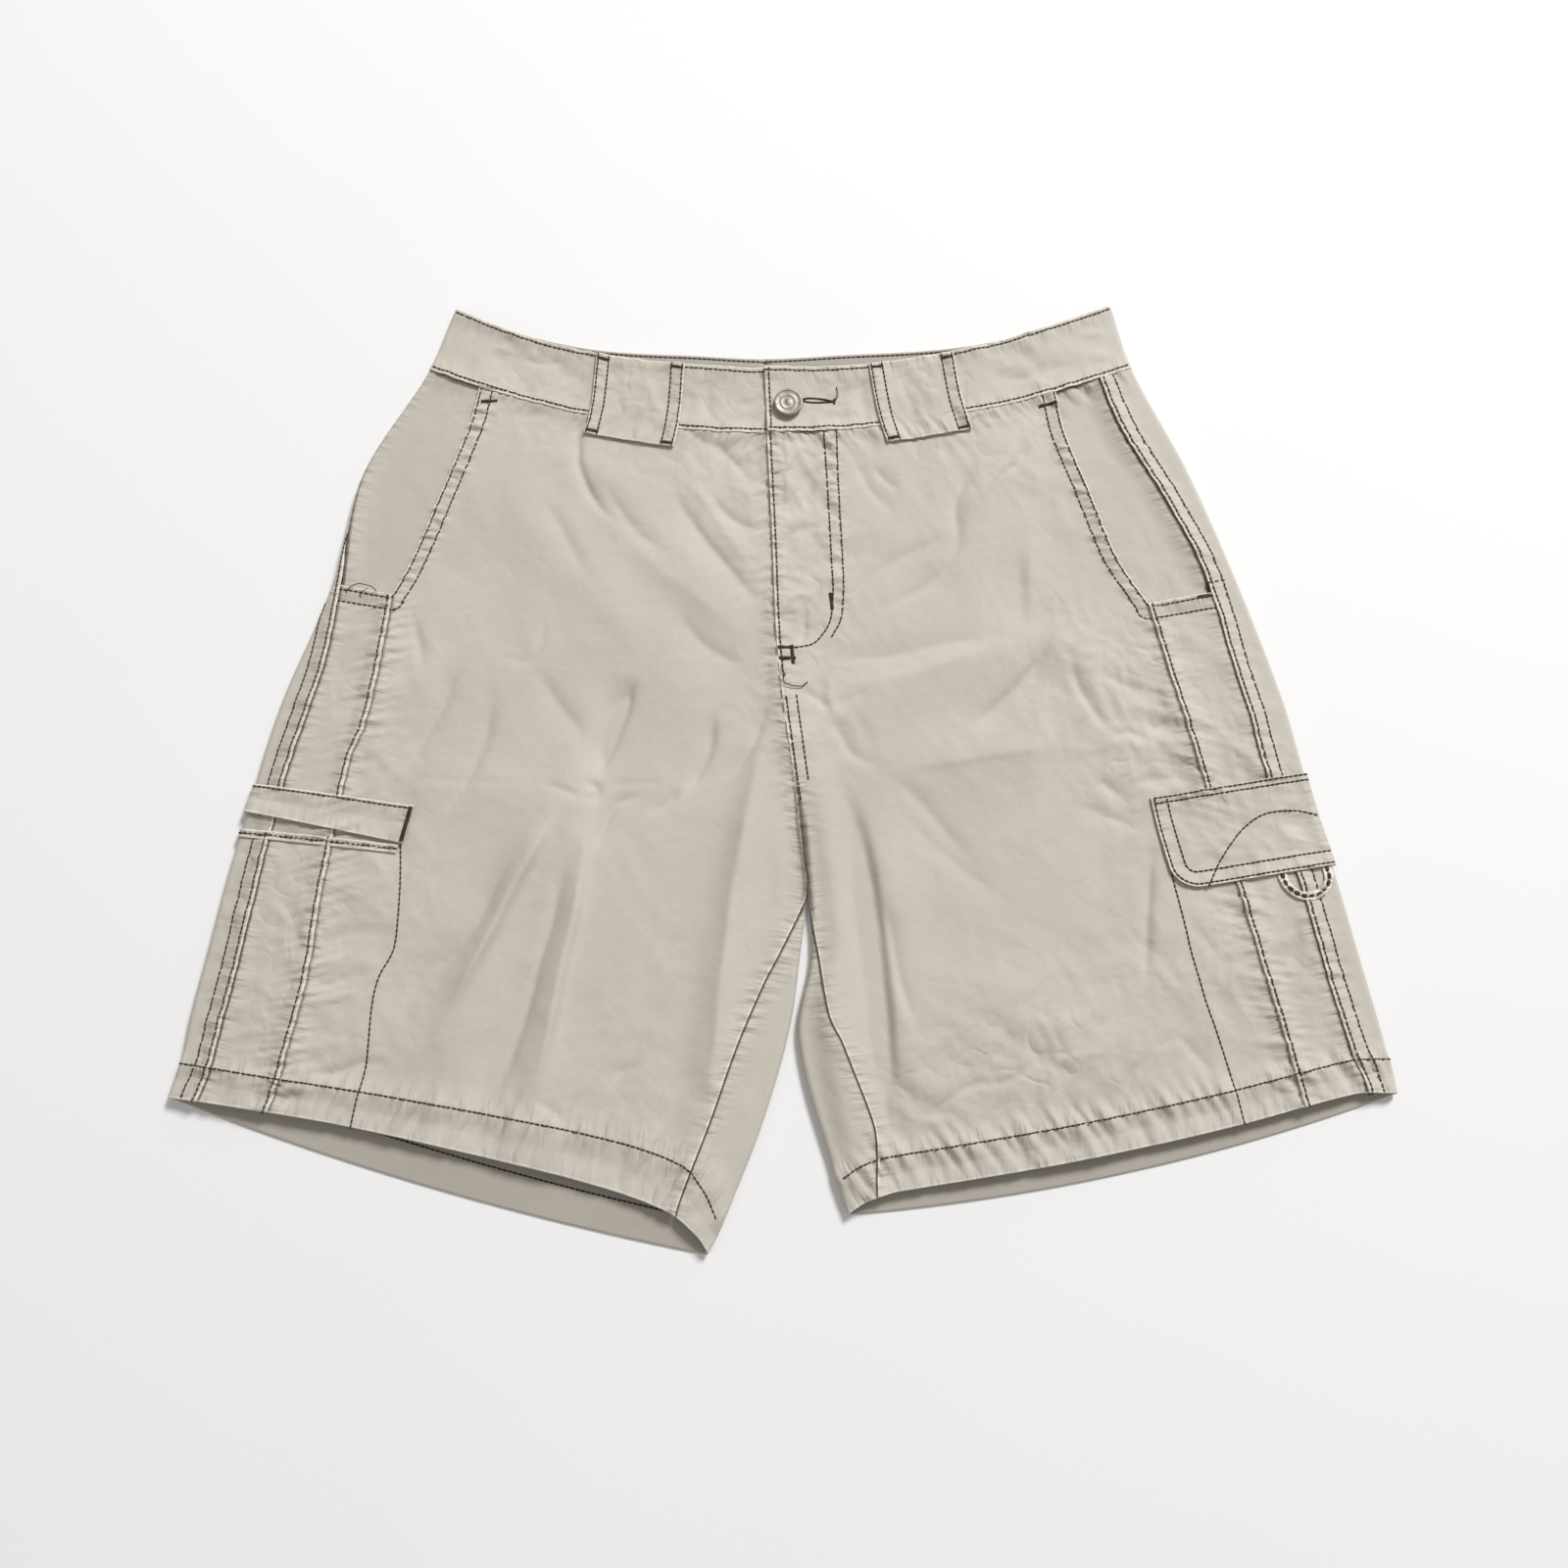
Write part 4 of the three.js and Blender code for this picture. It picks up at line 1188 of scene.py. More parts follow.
        bottom = self.half.hem_row(places(np.array(HEM)))[:, None]
        down = mix(SEAM_GAP, bottom, shares[None, :])
        across = np.stack([places(rows)[i] for i, rows in enumerate(down)])
        from_edge = OUTSEAM[side](down) + LAP_OVER - across
        lift = lap(from_edge) * smooth(-1, 3, across)
        extra = self.hem_extra(across, down)
        on_top = smooth(-QUARTER_FOLD, QUARTER_FOLD, across)
        wrapped = (down > CROTCH) & (across < -self.half.length(down))
        outward = np.maximum(on_top, wrapped) * extra
        return Panel(f"back_{side.value}", self.half, across, down, OUTER + lift + outward,
                     INNER + lift - extra, (Edge.START, Edge.BOTTOM), (0.31, 0.437),
                     grooved=(Edge.END,), groove=(0.3, 0.9), mouth_shade=self.mouth_shade)

    def pocket_facing(self) -> Panel:
        """Builds the cloth seen inside the front pocket's mouth.

        Returns:
            The panel.
        """
        side = self.half.side
        shares = spaced(55)[:, None]
        down = mix(SEAM_GAP, SIDE_PANEL_TOP + self.facing_tuck, spaced(144)) + 0 * shares
        first = OUTSEAM[side](down) + 0.4
        last = POCKET_MOUTH[side](down) + self.facing_under
        across = mix(first, last, shares)
        low = smooth(-9, -3, down - SIDE_PANEL_TOP)
        drop = self.facing_drop * np.maximum(smooth(0, 14, across - OUTSEAM[side](down)), low)
        half = self.facing_thick / 2
        # A little painted shade for the facing, which lies inside the pocket.
        return Panel(f"pocket_facing_{side.value}", self.half, across, down, half - drop, -half - drop, (),
                     (0.052, 0.144), shade=0.06, grooved=(Edge.START,))


@dataclass(frozen=True)
class Waist:
    """The waistband of one half and its wide belt loop."""

    half: Half
    above: float = 0.9
    below: float = 0.8
    inside: float = 1.4
    fly_lift: float = 2.0
    loop_base: float = 1.32
    loop_thick: float = 1.1

    def waistband(self) -> Panel:
        """Builds the band from the centre front round the outer fold to the centre back.

        Returns:
            The panel.
        """
        side = self.half.side
        on_top = side is Side.LEFT
        near = np.array(EDGE_STEPS) / 150

        def places(down: Array) -> Array:
            """The band's places across at some rows, one column for each."""
            end = self.half.length(down)
            under = 0.35 if on_top else 8.0
            marks = [end + under, QUARTER_FOLD + 0 * end, -QUARTER_FOLD + 0 * end, 0.15 - end]
            shares = [
                np.unique(np.concatenate([near, np.linspace(near[-1], 1, 90)])),
                np.linspace(0, 1, 15)[1:],
                np.linspace(0, 1, 46)[1:],
            ]
            return stretched(marks, shares)

        first = places(np.array(BAND_TOP))
        share = np.clip(np.abs(first) / self.half.length(BAND_TOP), 0, 1)
        top = np.where(first < 0, BACK_TOP(share), FRONT_TOP[side](share))[:, None]
        front = smooth(-QUARTER_FOLD, QUARTER_FOLD, first)[:, None]
        shares = spaced(38, 1.6)
        down = mix(top, LAP_OVER * front, shares[None, :])
        across = np.stack([places(rows)[i] for i, rows in enumerate(down)])
        on_front = smooth(-QUARTER_FOLD, QUARTER_FOLD, across)
        from_centre = self.half.length(down) - across
        lift = self.fly_lift * (1 - smooth(11, 44, from_centre)) if on_top else 0 * across
        low = smooth(-7, -1, down) * on_front
        outer = mix(HALF, mix(self.above, 1.12, low), on_front) + lift
        inner = mix(-self.inside, mix(-self.below, 0.66, low), on_front) + lift
        worn_highlit = (Edge.START, Edge.TOP, Edge.BOTTOM) if on_top else (Edge.TOP, Edge.BOTTOM)
        return Panel(f"waistband_{side.value}", self.half, across, down, outer, inner, worn_highlit, (0.38, 0.038))

    def belt_loop(self) -> Panel:
        """Builds the loop, which hangs a little below the band.

        Returns:
            The panel.
        """
        top, bottom, outer_top, inner_top, outer_bottom, inner_bottom = BELT_LOOPS[self.half.side]
        t = spaced(49, 1.4)[None, :]
        s = spaced(49, 1.4)[:, None]
        across = mix(mix(outer_top, outer_bottom, t), mix(inner_top, inner_bottom, t), s)
        down = mix(top, bottom, t) + 0 * s
        pillow = 0.35 * np.sin(math.pi * s) ** 0.5 * np.sin(math.pi * t) ** 0.5
        outer = self.loop_base + self.loop_thick + pillow
        return Panel(f"belt_loop_{self.half.side.value}", self.half, across, down, outer,
                     self.loop_base + 0 * across, tuple(Edge), (0.05, 0.049))


@dataclass(frozen=True)
class Trims:
    """The band and lip of the right cargo pocket, and the flap and pull loop of the left one."""

    right: Half
    left: Half

    def strip(self, name: str, rows: tuple[Pair, Pair], reach: float, off: float, thick: float,
              gape: float, worn_highlit: tuple[Edge, ...], flat: Pair) -> Panel:
        """Builds a straight strip whose ends differ in height.

        Args:
            name: the node that it stands for.
            rows: its first and last rows, each at the outer fold and at its inner end.
            reach: how far across it goes.
            off: how far above the mid surface it lies.
            thick: its thickness.
            gape: how far its lower edge stands off.
            worn_highlit: its pale edges, partly rubbed cloth and partly painted highlight.
            flat: its cut size in metres.

        Returns:
            The panel.
        """
        top, bottom = rows
        s = spaced(reach, 1.6)[:, None]
        t = spaced(bottom[0] - top[0], 1.4)[None, :]
        across = mix(-0.9, reach, s) + 0 * t
        share = np.clip(across / reach, 0, 1)
        down = mix(mix(*top, share), mix(*bottom, share), t)
        lower = off + gape * t + 0 * s
        return Panel(name, self.right, across, down, lower + thick, lower, worn_highlit, flat)

    def band(self) -> Panel:
        """Builds the band over the right pocket's mouth."""
        return self.strip("cargo_band_right", BAND_ROWS, BAND_REACH, 0.95, 1.0, 0.9, tuple(Edge),
                          (0.0874, 0.0175))

    def lip(self) -> Panel:
        """Builds the lower lip of that mouth."""
        return self.strip("cargo_lip_right", LIP_ROWS, LIP_REACH, 0.9, 0.8, 0.0, (Edge.TOP, Edge.BOTTOM),
                          (0.085, 0.0045))

    def flap(self) -> Panel:
        """Builds the flap with its rounded lower front corner.

        Returns:
            The panel.
        """
        top, bottom = FLAP_ROWS
        s = spaced(FLAP_REACH, 1.6)
        t = spaced(bottom - top, 1.6)[None, :]
        ending = np.sort(FLAP_REACH - FLAP_CORNER * (1 - np.sin(np.linspace(0, math.pi / 2, 16))))
        places_across = np.unique(np.concatenate([mix(-0.9, FLAP_REACH, s), ending]))[:, None]
        near = np.clip(places_across - (FLAP_REACH - FLAP_CORNER), 0, FLAP_CORNER)
        last = bottom - FLAP_CORNER + np.sqrt(FLAP_CORNER**2 - near**2)
        across = places_across + 0 * t
        down = mix(top, last, t)
        lower = 1.0 + 0.7 * np.clip((down - top) / (bottom - top), 0, 1)
        return Panel("cargo_flap_left", self.left, across, down, lower + 1.15, lower,
                     (Edge.END, Edge.BOTTOM), (0.086, 0.051))

    def pull_loop(self) -> Panel:
        """Builds the U of tape under the flap's lower edge.

        Returns:
            The panel, whose columns run along the tape.
        """
        across, down = LOOP_CENTRE
        legs = np.linspace(0, 1, 9)[:-1]
        turns = np.linspace(0, math.pi, 41)
        widths = spaced(LOOP_TAPE, 0.8)[None, :]
        reach = LOOP_RADIUS + (widths - 0.5) * LOOP_TAPE
        first = [(across + reach, mix(LOOP_TOP, down, t) + 0 * reach) for t in legs]
        bend = [(across + reach * math.cos(a), down + reach * math.sin(a)) for a in turns]
        second = [(across - reach, mix(LOOP_TOP, down, t) + 0 * reach) for t in legs[::-1]]
        grid_across, grid_down = (np.concatenate(part) for part in zip(*first, *bend, *second))
        low = 0.9 + 0 * grid_across
        high = low + mix(0.62, 1.25, smooth(294, 299, grid_down))
        return Panel("pull_loop_left", self.left, grid_across, grid_down, high, low,
                     (Edge.TOP, Edge.BOTTOM), (0.0046, 0.052))


class Wire:
    """An output of a material's tree. Arithmetic on it adds Math nodes."""

    def __init__(self, graph: "Graph", socket: NodeSocket) -> None:
        """Keeps the tree and the socket."""
        self.graph = graph
        self.socket = socket

    def _with(self, operation: str, first: "Wire | float", second: "Wire | float") -> "Wire":
        """Adds one Math node."""
        return self.graph.node("ShaderNodeMath", {"operation": operation}, {0: first, 1: second})

    def __add__(self, other: "Wire | float") -> "Wire":
        """Adds."""
        return self._with("ADD", self, other)

    def __radd__(self, other: float) -> "Wire":
        """Adds to a number."""
        return self._with("ADD", other, self)

    def __sub__(self, other: "Wire | float") -> "Wire":
        """Subtracts."""
        return self._with("SUBTRACT", self, other)

    def __rsub__(self, other: float) -> "Wire":
        """Subtracts from a number."""
        return self._with("SUBTRACT", other, self)

    def __mul__(self, other: "Wire | float") -> "Wire":
        """Multiplies."""
        return self._with("MULTIPLY", self, other)

    def __rmul__(self, other: float) -> "Wire":
        """Multiplies a number."""
        return self._with("MULTIPLY", other, self)


class Graph:
    """A material's node tree, filled one node at a time."""

    def __init__(self, name: str) -> None:
        """Makes an empty tree with a Principled shader and an output."""
        self.material = bpy.data.materials.new(name)
        self.material.use_nodes = True
        self.tree = self.material.node_tree
        self.tree.nodes.clear()
        self.shader = self.tree.nodes.new("ShaderNodeBsdfPrincipled")
        output = self.tree.nodes.new("ShaderNodeOutputMaterial")
        self.tree.links.new(self.shader.outputs["BSDF"], output.inputs["Surface"])

    def feed(self, socket: NodeSocket, value: "Wire | float | Sequence[float]") -> None:
        """Links a wire to a socket or sets its value."""
        if isinstance(value, Wire):
            self.tree.links.new(value.socket, socket)
        else:
            socket.default_value = value

    def give(self, name: str, value: "Wire | float | Sequence[float]") -> None:
        """Feeds one of the shader's sockets."""
        self.feed(self.shader.inputs[name], value)

    def node(self, kind: str, settings: dict[str, object], inputs: dict[str | int, object],
             output: str | int = 0) -> Wire:
        """Adds a node.

        Args:
            kind: its type.
            settings: its properties.
            inputs: its sockets' values or wires.
            output: the output that is wanted.

        Returns:
            That output.
        """
        added = self.tree.nodes.new(kind)
        for key, value in settings.items():
            setattr(added, key, value)
        for key, value in inputs.items():
            self.feed(added.inputs[key], value)
        return Wire(self, added.outputs[output])

    def blend(self, share: "Wire | float", first: object, second: object) -> Wire:
        """Mixes two colours, each a wire or a colour, with a share of the second."""
        return self.node("ShaderNodeMix", {"data_type": "RGBA"}, {0: share, 6: first, 7: second}, 2)

    def space(self) -> Wire:
        """The place on the object."""
        return self.node("ShaderNodeTexCoord", {}, {}, "Object")

    def mark(self, name: str) -> Wire:
        """One of the values that a panel's mesh carries."""
        return self.node("ShaderNodeAttribute", {"attribute_name": name}, {}, "Fac")

    def noise(self, vector: Wire, scale: float, detail: float = 3.0, rough: float = 0.5) -> Wire:
        """Adds a noise texture and gives its value."""
        inputs = {"Vector": vector, "Scale": scale, "Detail": detail, "Roughness": rough}
        return self.node("ShaderNodeTexNoise", {}, inputs)

    def range(self, value: Wire, low: float, high: float, to_low: float, to_high: float) -> Wire:
        """Maps a value from one range to another, held at its ends."""
        return self.node("ShaderNodeMapRange", {}, {0: value, 1: low, 2: high, 3: to_low, 4: to_high})

    def ridges(self, vector: Wire, scale: float) -> Wire:
        """Gives sharp creases: the distance of a soft noise from its middle value, held small."""
        soft = self.noise(vector, scale, 1.0, 0.45)
        fold = self.node("ShaderNodeMath", {"operation": "ABSOLUTE"}, {0: soft - 0.5})
        return self.node("ShaderNodeMath", {"operation": "MINIMUM"}, {0: fold, 1: 0.09})

    def bump(self, height: Wire, strength: float, distance: float, under: Wire | None = None) -> Wire:
        """Adds a Bump node.

        Args:
            height: the height in shares of distance.
            strength: its strength.
            distance: its full height in metres.
            under: the normal that it is added to.

        Returns:
            The normal.
        """
        inputs = {"Height": height, "Strength": strength, "Distance": distance}
        if under is not None:
            inputs["Normal"] = under
        return self.node("ShaderNodeBump", {}, inputs)


@dataclass(frozen=True)
class ClothFinish:
    """Washed cotton: fine weave, soft sheen, pale edges of rubbing and painted highlight, and painted
    shade.
    """

    name: str = "stone_cotton"
    colour: Colour = (0.53, 0.49, 0.43, 1)
    mottle: Colour = (0.475, 0.435, 0.375, 1)
    worn_highlit: Colour = (0.74, 0.70, 0.62, 1)
    painted_shade: Colour = (0.11, 0.085, 0.065, 1)
    roughness: float = 0.84
    thread_scale: float = 700.0
    crease_height: float = 0.0065
    pucker_height: float = 0.0027

    def material(self) -> Material:
        """Builds the material.

        Returns:
            The material.
        """
        g = Graph(self.name)
        space = g.space()
        grain = g.node("ShaderNodeUVMap", {"uv_map": "grain"}, {})
        cloud = g.noise(space, 14.0, 4.0)
        speckle = g.noise(space, 420.0, 2.0, 0.7)
        wear_and_highlight = g.mark("wear_and_highlight")
        shade = g.mark("shade")
        colour = g.blend(g.range(cloud, 0.35, 0.7, 0.0, 0.55), self.colour, self.mottle)
        colour = g.blend(g.range(speckle, 0.35, 0.7, 0.0, 0.3), colour, self.mottle)
        # Painted shade: darkens the cloth in seam grooves, between the legs, in the pocket mouths and on
        # the inside.
        colour = g.blend(shade, colour, self.painted_shade)
        # Paler edges: partly rubbed cloth, partly a painted highlight where the folded edge catches light.
        fray = g.noise(space, 900.0, 3.0, 0.6)
        colour = g.blend(wear_and_highlight * g.range(fray, 0.3, 0.6, 0.45, 0.95), colour, self.worn_highlit)
        g.give("Base Color", colour)
        g.give("Roughness", self.roughness + 0.1 * (speckle - 0.5))
        weave = {"Vector": grain, "Scale": self.thread_scale, "Distortion": 1.5, "Detail Scale": 0.4}
        warp, weft = (g.node("ShaderNodeTexWave", {"bands_direction": way}, weave) for way in "XY")
        rough = g.mark("crumple")
        patch = rough * g.range(g.noise(space, 16.0, 2.0), 0.38, 0.6, 0.15, 1.0)
        normal = g.bump(g.ridges(space, 26.0) * patch, 1.0, self.crease_height)
        normal = g.bump(g.ridges(space, 61.0) * patch, 1.0, 0.55 * self.crease_height, normal)
        for key, stretch in (("pucker_down", (0.2, 1.0, 1.0)), ("pucker_across", (1.0, 0.2, 1.0))):
            mask = g.mark(key)
            drawn = g.node("ShaderNodeMapping", {}, {"Vector": grain, "Scale": stretch})
            normal = g.bump(g.noise(drawn, 210.0, 2.0) * mask, 1.0, self.pucker_height, normal)
        crumple = g.noise(space, 130.0, 4.0, 0.6)
        normal = g.bump(crumple, 0.4, 0.0007, normal)
        normal = g.bump(warp * 0.5 + weft * 0.5, 0.35, 0.00008, normal)
        g.give("Normal", normal)
        g.give("Sheen Weight", 0.18)
        g.give("Sheen Roughness", 0.45)
        g.give("Specular IOR Level", 0.32)
        return g.material


@dataclass(frozen=True)
class ThreadFinish:
    """Twisted polyester thread."""

    name: str = "brown_thread"
    colour: Colour = (0.036, 0.020, 0.012, 1)
    light: Colour = (0.085, 0.052, 0.034, 1)

    def material(self) -> Material:
        """Builds the material.

        Returns:
            The material.
        """
        g = Graph(self.name)
        space = g.space()
        tone = g.noise(space, 300.0, 2.0)
        g.give("Base Color", g.blend(g.range(tone, 0.3, 0.7, 0, 1), self.colour, self.light))
        twist = g.noise(space, 5200.0, 1.0)
        g.give("Roughness", 0.62 + 0.2 * tone)
        g.give("Normal", g.bump(twist, 0.5, 0.0001))
        g.give("Specular IOR Level", 0.2)
        return g.material


@dataclass(frozen=True)
class NickelFinish:
    """Dull brushed nickel with light handling marks."""

    name: str = "dull_nickel"
    colour: Colour = (0.40, 0.375, 0.33, 1)
    dark: Colour = (0.22, 0.20, 0.165, 1)

    def material(self) -> Material:
        """Builds the material.

        Returns:
            The material.
        """
        g = Graph(self.name)
        space = g.space()
        stain = g.noise(space, 260.0, 4.0)
        scratch = g.noise(space, 2600.0, 2.0)
        g.give("Base Color", g.blend(g.range(stain, 0.4, 0.7, 0, 0.7), self.colour, self.dark))
        g.give("Roughness", 0.42 + 0.3 * stain)
        g.give("Metallic", 1.0 - 0.1 * stain)
        g.give("Normal", g.bump(scratch, 0.12, 0.00005))
        return g.material


@dataclass(frozen=True)
class FloorFinish:
    """A plain pale floor."""

    name: str = "pale_floor"
    colour: Colour = (0.83, 0.825, 0.82, 1)

    def material(self) -> Material:
        """Builds the material.

        Returns:
            The material.
        """
        g = Graph(self.name)
        tone = g.noise(g.space(), 3.0, 2.0)
        pale = tuple(0.97 * part for part in self.colour[:3]) + (1,)
        g.give("Base Color", g.blend(tone, self.colour, pale))
        g.give("Roughness", 0.9)
        return g.material


class GeometryTree:
    """A Geometry Nodes tree with named inputs, filled one node at a time."""

    def __init__(self, name: str, inputs: dict[str, str]) -> None:
        """Makes the tree.

        Args:
            name: its name.
            inputs: its inputs' names and socket types.
        """
        self.tree = bpy.data.node_groups.new(name, "GeometryNodeTree")
        self.tree.interface.new_socket("Geometry", in_out="INPUT", socket_type="NodeSocketGeometry")
        for key, kind in inputs.items():
            self.tree.interface.new_socket(key, in_out="INPUT", socket_type=kind)
        self.tree.interface.new_socket("Geometry", in_out="OUTPUT", socket_type="NodeSocketGeometry")
        self.given = self.tree.nodes.new("NodeGroupInput").outputs
        self.result = self.tree.nodes.new("NodeGroupOutput").inputs[0]

    def node(self, kind: str, inputs: dict[str | int, object], **settings: str) -> Node:
        """Adds a node.

        Args:
            kind: its type.
            inputs: its sockets' values, or the nodes or outputs that they are linked to.
            settings: its properties.

        Returns:
            The node.
        """
        added = self.tree.nodes.new(kind)
        for key, value in settings.items():
            setattr(added, key, value)
        for key, value in inputs.items():
            if isinstance(value, Node):
                value = value.outputs[0]
            if isinstance(value, NodeSocket):
                self.tree.links.new(value, added.inputs[key])
            else:
                added.inputs[key].default_value = value
        return added

    def finish(self, shape: Node) -> None:
        """Ends the tree with real, smooth geometry of the given thread.

        Args:
            shape: the node that makes the geometry.
        """
        real = self.node("GeometryNodeRealizeInstances", {0: shape})
        soft = self.node("GeometryNodeSetShadeSmooth", {0: real})
        done = self.node("GeometryNodeSetMaterial", {0: soft, "Material": self.given["Thread"]})
        self.tree.links.new(done.outputs[0], self.result)

    def apply(self, base: Object, values: dict[str, object]) -> Mesh:
        """Runs the tree on an object and makes the result a plain mesh.

        Args:
            base: the object, which is removed.
            values: the inputs' values by name.

        Returns:
            The mesh.
        """
        modifier = base.modifiers.new("tree", "NODES")
        modifier.node_group = self.tree
        for item in self.tree.interface.items_tree:
            if item.in_out == "INPUT" and item.name in values:
                modifier[item.identifier] = values[item.name]
        depsgraph = bpy.context.evaluated_depsgraph_get()
        mesh = bpy.data.meshes.new_from_object(base.evaluated_get(depsgraph), depsgraph=depsgraph)
        base.modifiers.clear()
        bpy.data.objects.remove(base)
        return mesh


class StitchTree(GeometryTree):
    """Lays stitches along lines. A line's points carry the cloth's normal as the attribute up."""

    def __init__(self) -> None:
        """Builds the tree."""
        kinds = {name: "NodeSocketFloat" for name in ("Pitch", "Length", "Width", "Height", "Turn", "Lean")}
        super().__init__("stitches", kinds | {"Seed": "NodeSocketInt", "Thread": "NodeSocketMaterial"})
        given = self.given
        line = self.node("GeometryNodeMeshToCurve", {0: given["Geometry"]})
        even = self.node("GeometryNodeResampleCurve", {"Curve": line, "Length": given["Pitch"]},
                         mode="LENGTH")
        up = self.node("GeometryNodeInputNamedAttribute", {"Name": "up"}, data_type="FLOAT_VECTOR")
        tangent = self.node("GeometryNodeInputTangent", {})
        turned = self.node("FunctionNodeAxesToRotation", {0: tangent, 1: up}, primary_axis="X",
                           secondary_axis="Z")
        lean_low = self.node("ShaderNodeMath", {0: given["Lean"], 1: -1.0}, operation="MULTIPLY")
        sway = self.node("FunctionNodeRandomValue", {2: lean_low, 3: given["Lean"], "Seed": given["Seed"]},
                         data_type="FLOAT")
        angle = self.node("ShaderNodeMath", {0: given["Turn"], 1: sway.outputs[1]}, operation="ADD")
        around = self.node("ShaderNodeCombineXYZ", {2: angle})
        local = self.node("FunctionNodeEulerToRotation", {0: around})
        rotation = self.node("FunctionNodeRotateRotation", {0: turned, 1: local}, rotation_space="LOCAL")
        ball = self.node("GeometryNodeMeshUVSphere", {"Segments": 6, "Rings": 4, "Radius": 0.5})
        sizes = {0: given["Length"], 1: given["Width"], 2: given["Height"]}
        size = self.node("ShaderNodeCombineXYZ", sizes)
        stitch = self.node("GeometryNodeTransform", {"Geometry": ball, "Scale": size})
        laid = {"Points": even, "Instance": stitch, "Rotation": rotation}
        self.finish(self.node("GeometryNodeInstanceOnPoints", laid))


class TailTree(GeometryTree):
    """Makes loose thread of lines."""

    def __init__(self) -> None:
        """Builds the tree."""
        super().__init__("thread_tails", {"Radius": "NodeSocketFloat", "Thread": "NodeSocketMaterial"})
        line = self.node("GeometryNodeMeshToCurve", {0: self.given["Geometry"]})
        sizes = {"Resolution": 6, "Radius": self.given["Radius"]}
        ring = self.node("GeometryNodeCurvePrimitiveCircle", sizes)
        self.finish(self.node("GeometryNodeCurveToMesh", {0: line, 1: ring, "Fill Caps": True}))


class Ground:
    """The cloth that stitches are laid on."""

    def __init__(self) -> None:
        """Starts with no cloth."""
        self.trees: dict[str, BVHTree] = {}

    def add(self, name: str, piece: Object) -> None:
        """Adds a piece of cloth under a node's name."""
        mesh = piece.data
        faces = [face.vertices for face in mesh.polygons]
        self.trees[name] = BVHTree.FromPolygons([point.co for point in mesh.vertices], faces)

    def drop(self, plan: Array, names: Sequence[str], rise: float) -> tuple[Array, Array]:
        """Drops points on the highest of some pieces.

        Args:
            plan: points in plan, in the part's millimetres.
            names: the pieces that they may land on.
            rise: how far above the cloth they end.

        Returns:
            The points that landed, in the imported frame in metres, and the cloth's normals.
        """
        points = []
        normals = []
        for x, y in (plan + SHIFT[:2]) * MM:
            hits = [self.trees[name].ray_cast(Vector((x, y, 0.1)), Vector((0, 0, -1))) for name in names]
            hits = [hit for hit in hits if hit[0] is not None]
            if hits:
                best = max(hits, key=lambda hit: hit[0].z)
                points.append(best[0] + best[1] * rise * MM)
                normals.append(best[1])
        return np.array(points).reshape(-1, 3), np.array(normals).reshape(-1, 3)


@dataclass(frozen=True)
class Thread:
    """How a row is sewn."""

    pitch: float
    length: float
    width: float
    height: float
    turn: float = 0.0
    lean: float = 0.06
    rise: float = 0.1


TOPSTITCH = Thread(2.7, 2.95, 1.05, 0.7, rise=0.16)
BARTACK = Thread(0.5, 2.3, 0.7, 0.8, math.pi / 2, 0.12)
END_TACK = Thread(0.5, 2.9, 0.75, 0.9, math.pi / 2, 0.1)
BUTTONHOLE = Thread(0.42, 1.5, 0.5, 0.7, math.pi / 2, 0.08)
TAPE_DASH = Thread(4.1, 3.9, 2.3, 1.2, rise=0.3)
STITCH_SEED = 5


@dataclass(frozen=True)
class Row:
    """A row of stitches: the line in plan, the cloth that it lies on and its thread."""

    plan: Array
    on: tuple[str, ...]
    thread: Thread


def line_object(lines: Sequence[tuple[Array, Array]]) -> Object:
    """Makes an object of open lines that carry the cloth's normal.

    Args:
        lines: each line's points and normals.

    Returns:
        The object.
    """
    mesh = bpy.data.meshes.new("lines")
    points = np.concatenate([line[0] for line in lines])
    normals = np.concatenate([line[1] for line in lines])
    edges = []
    first = 0
    for line, _ in lines:
        edges.extend((first + k, first + k + 1) for k in range(len(line) - 1))
        first += len(line)
    mesh.from_pydata(points.tolist(), edges, [])
    up = mesh.attributes.new("up", "FLOAT_VECTOR", "POINT")
    up.data.foreach_set("vector", normals.astype(np.float32).ravel())
    return linked("lines", mesh)


def along(points: Sequence[Sequence[float]], step: float = 0.9) -> Array:
    """Points at an even step along a smooth curve through given points."""
    path = rounded_path(points, 8)
    gone = np.concatenate([[0], np.cumsum(np.hypot(*np.diff(path, axis=0).T))])
    count = max(2, int(gone[-1] / step))
    wanted = np.linspace(0, gone[-1], count + 1)
    return np.stack([np.interp(wanted, gone, path[:, k]) for k in range(2)], -1)


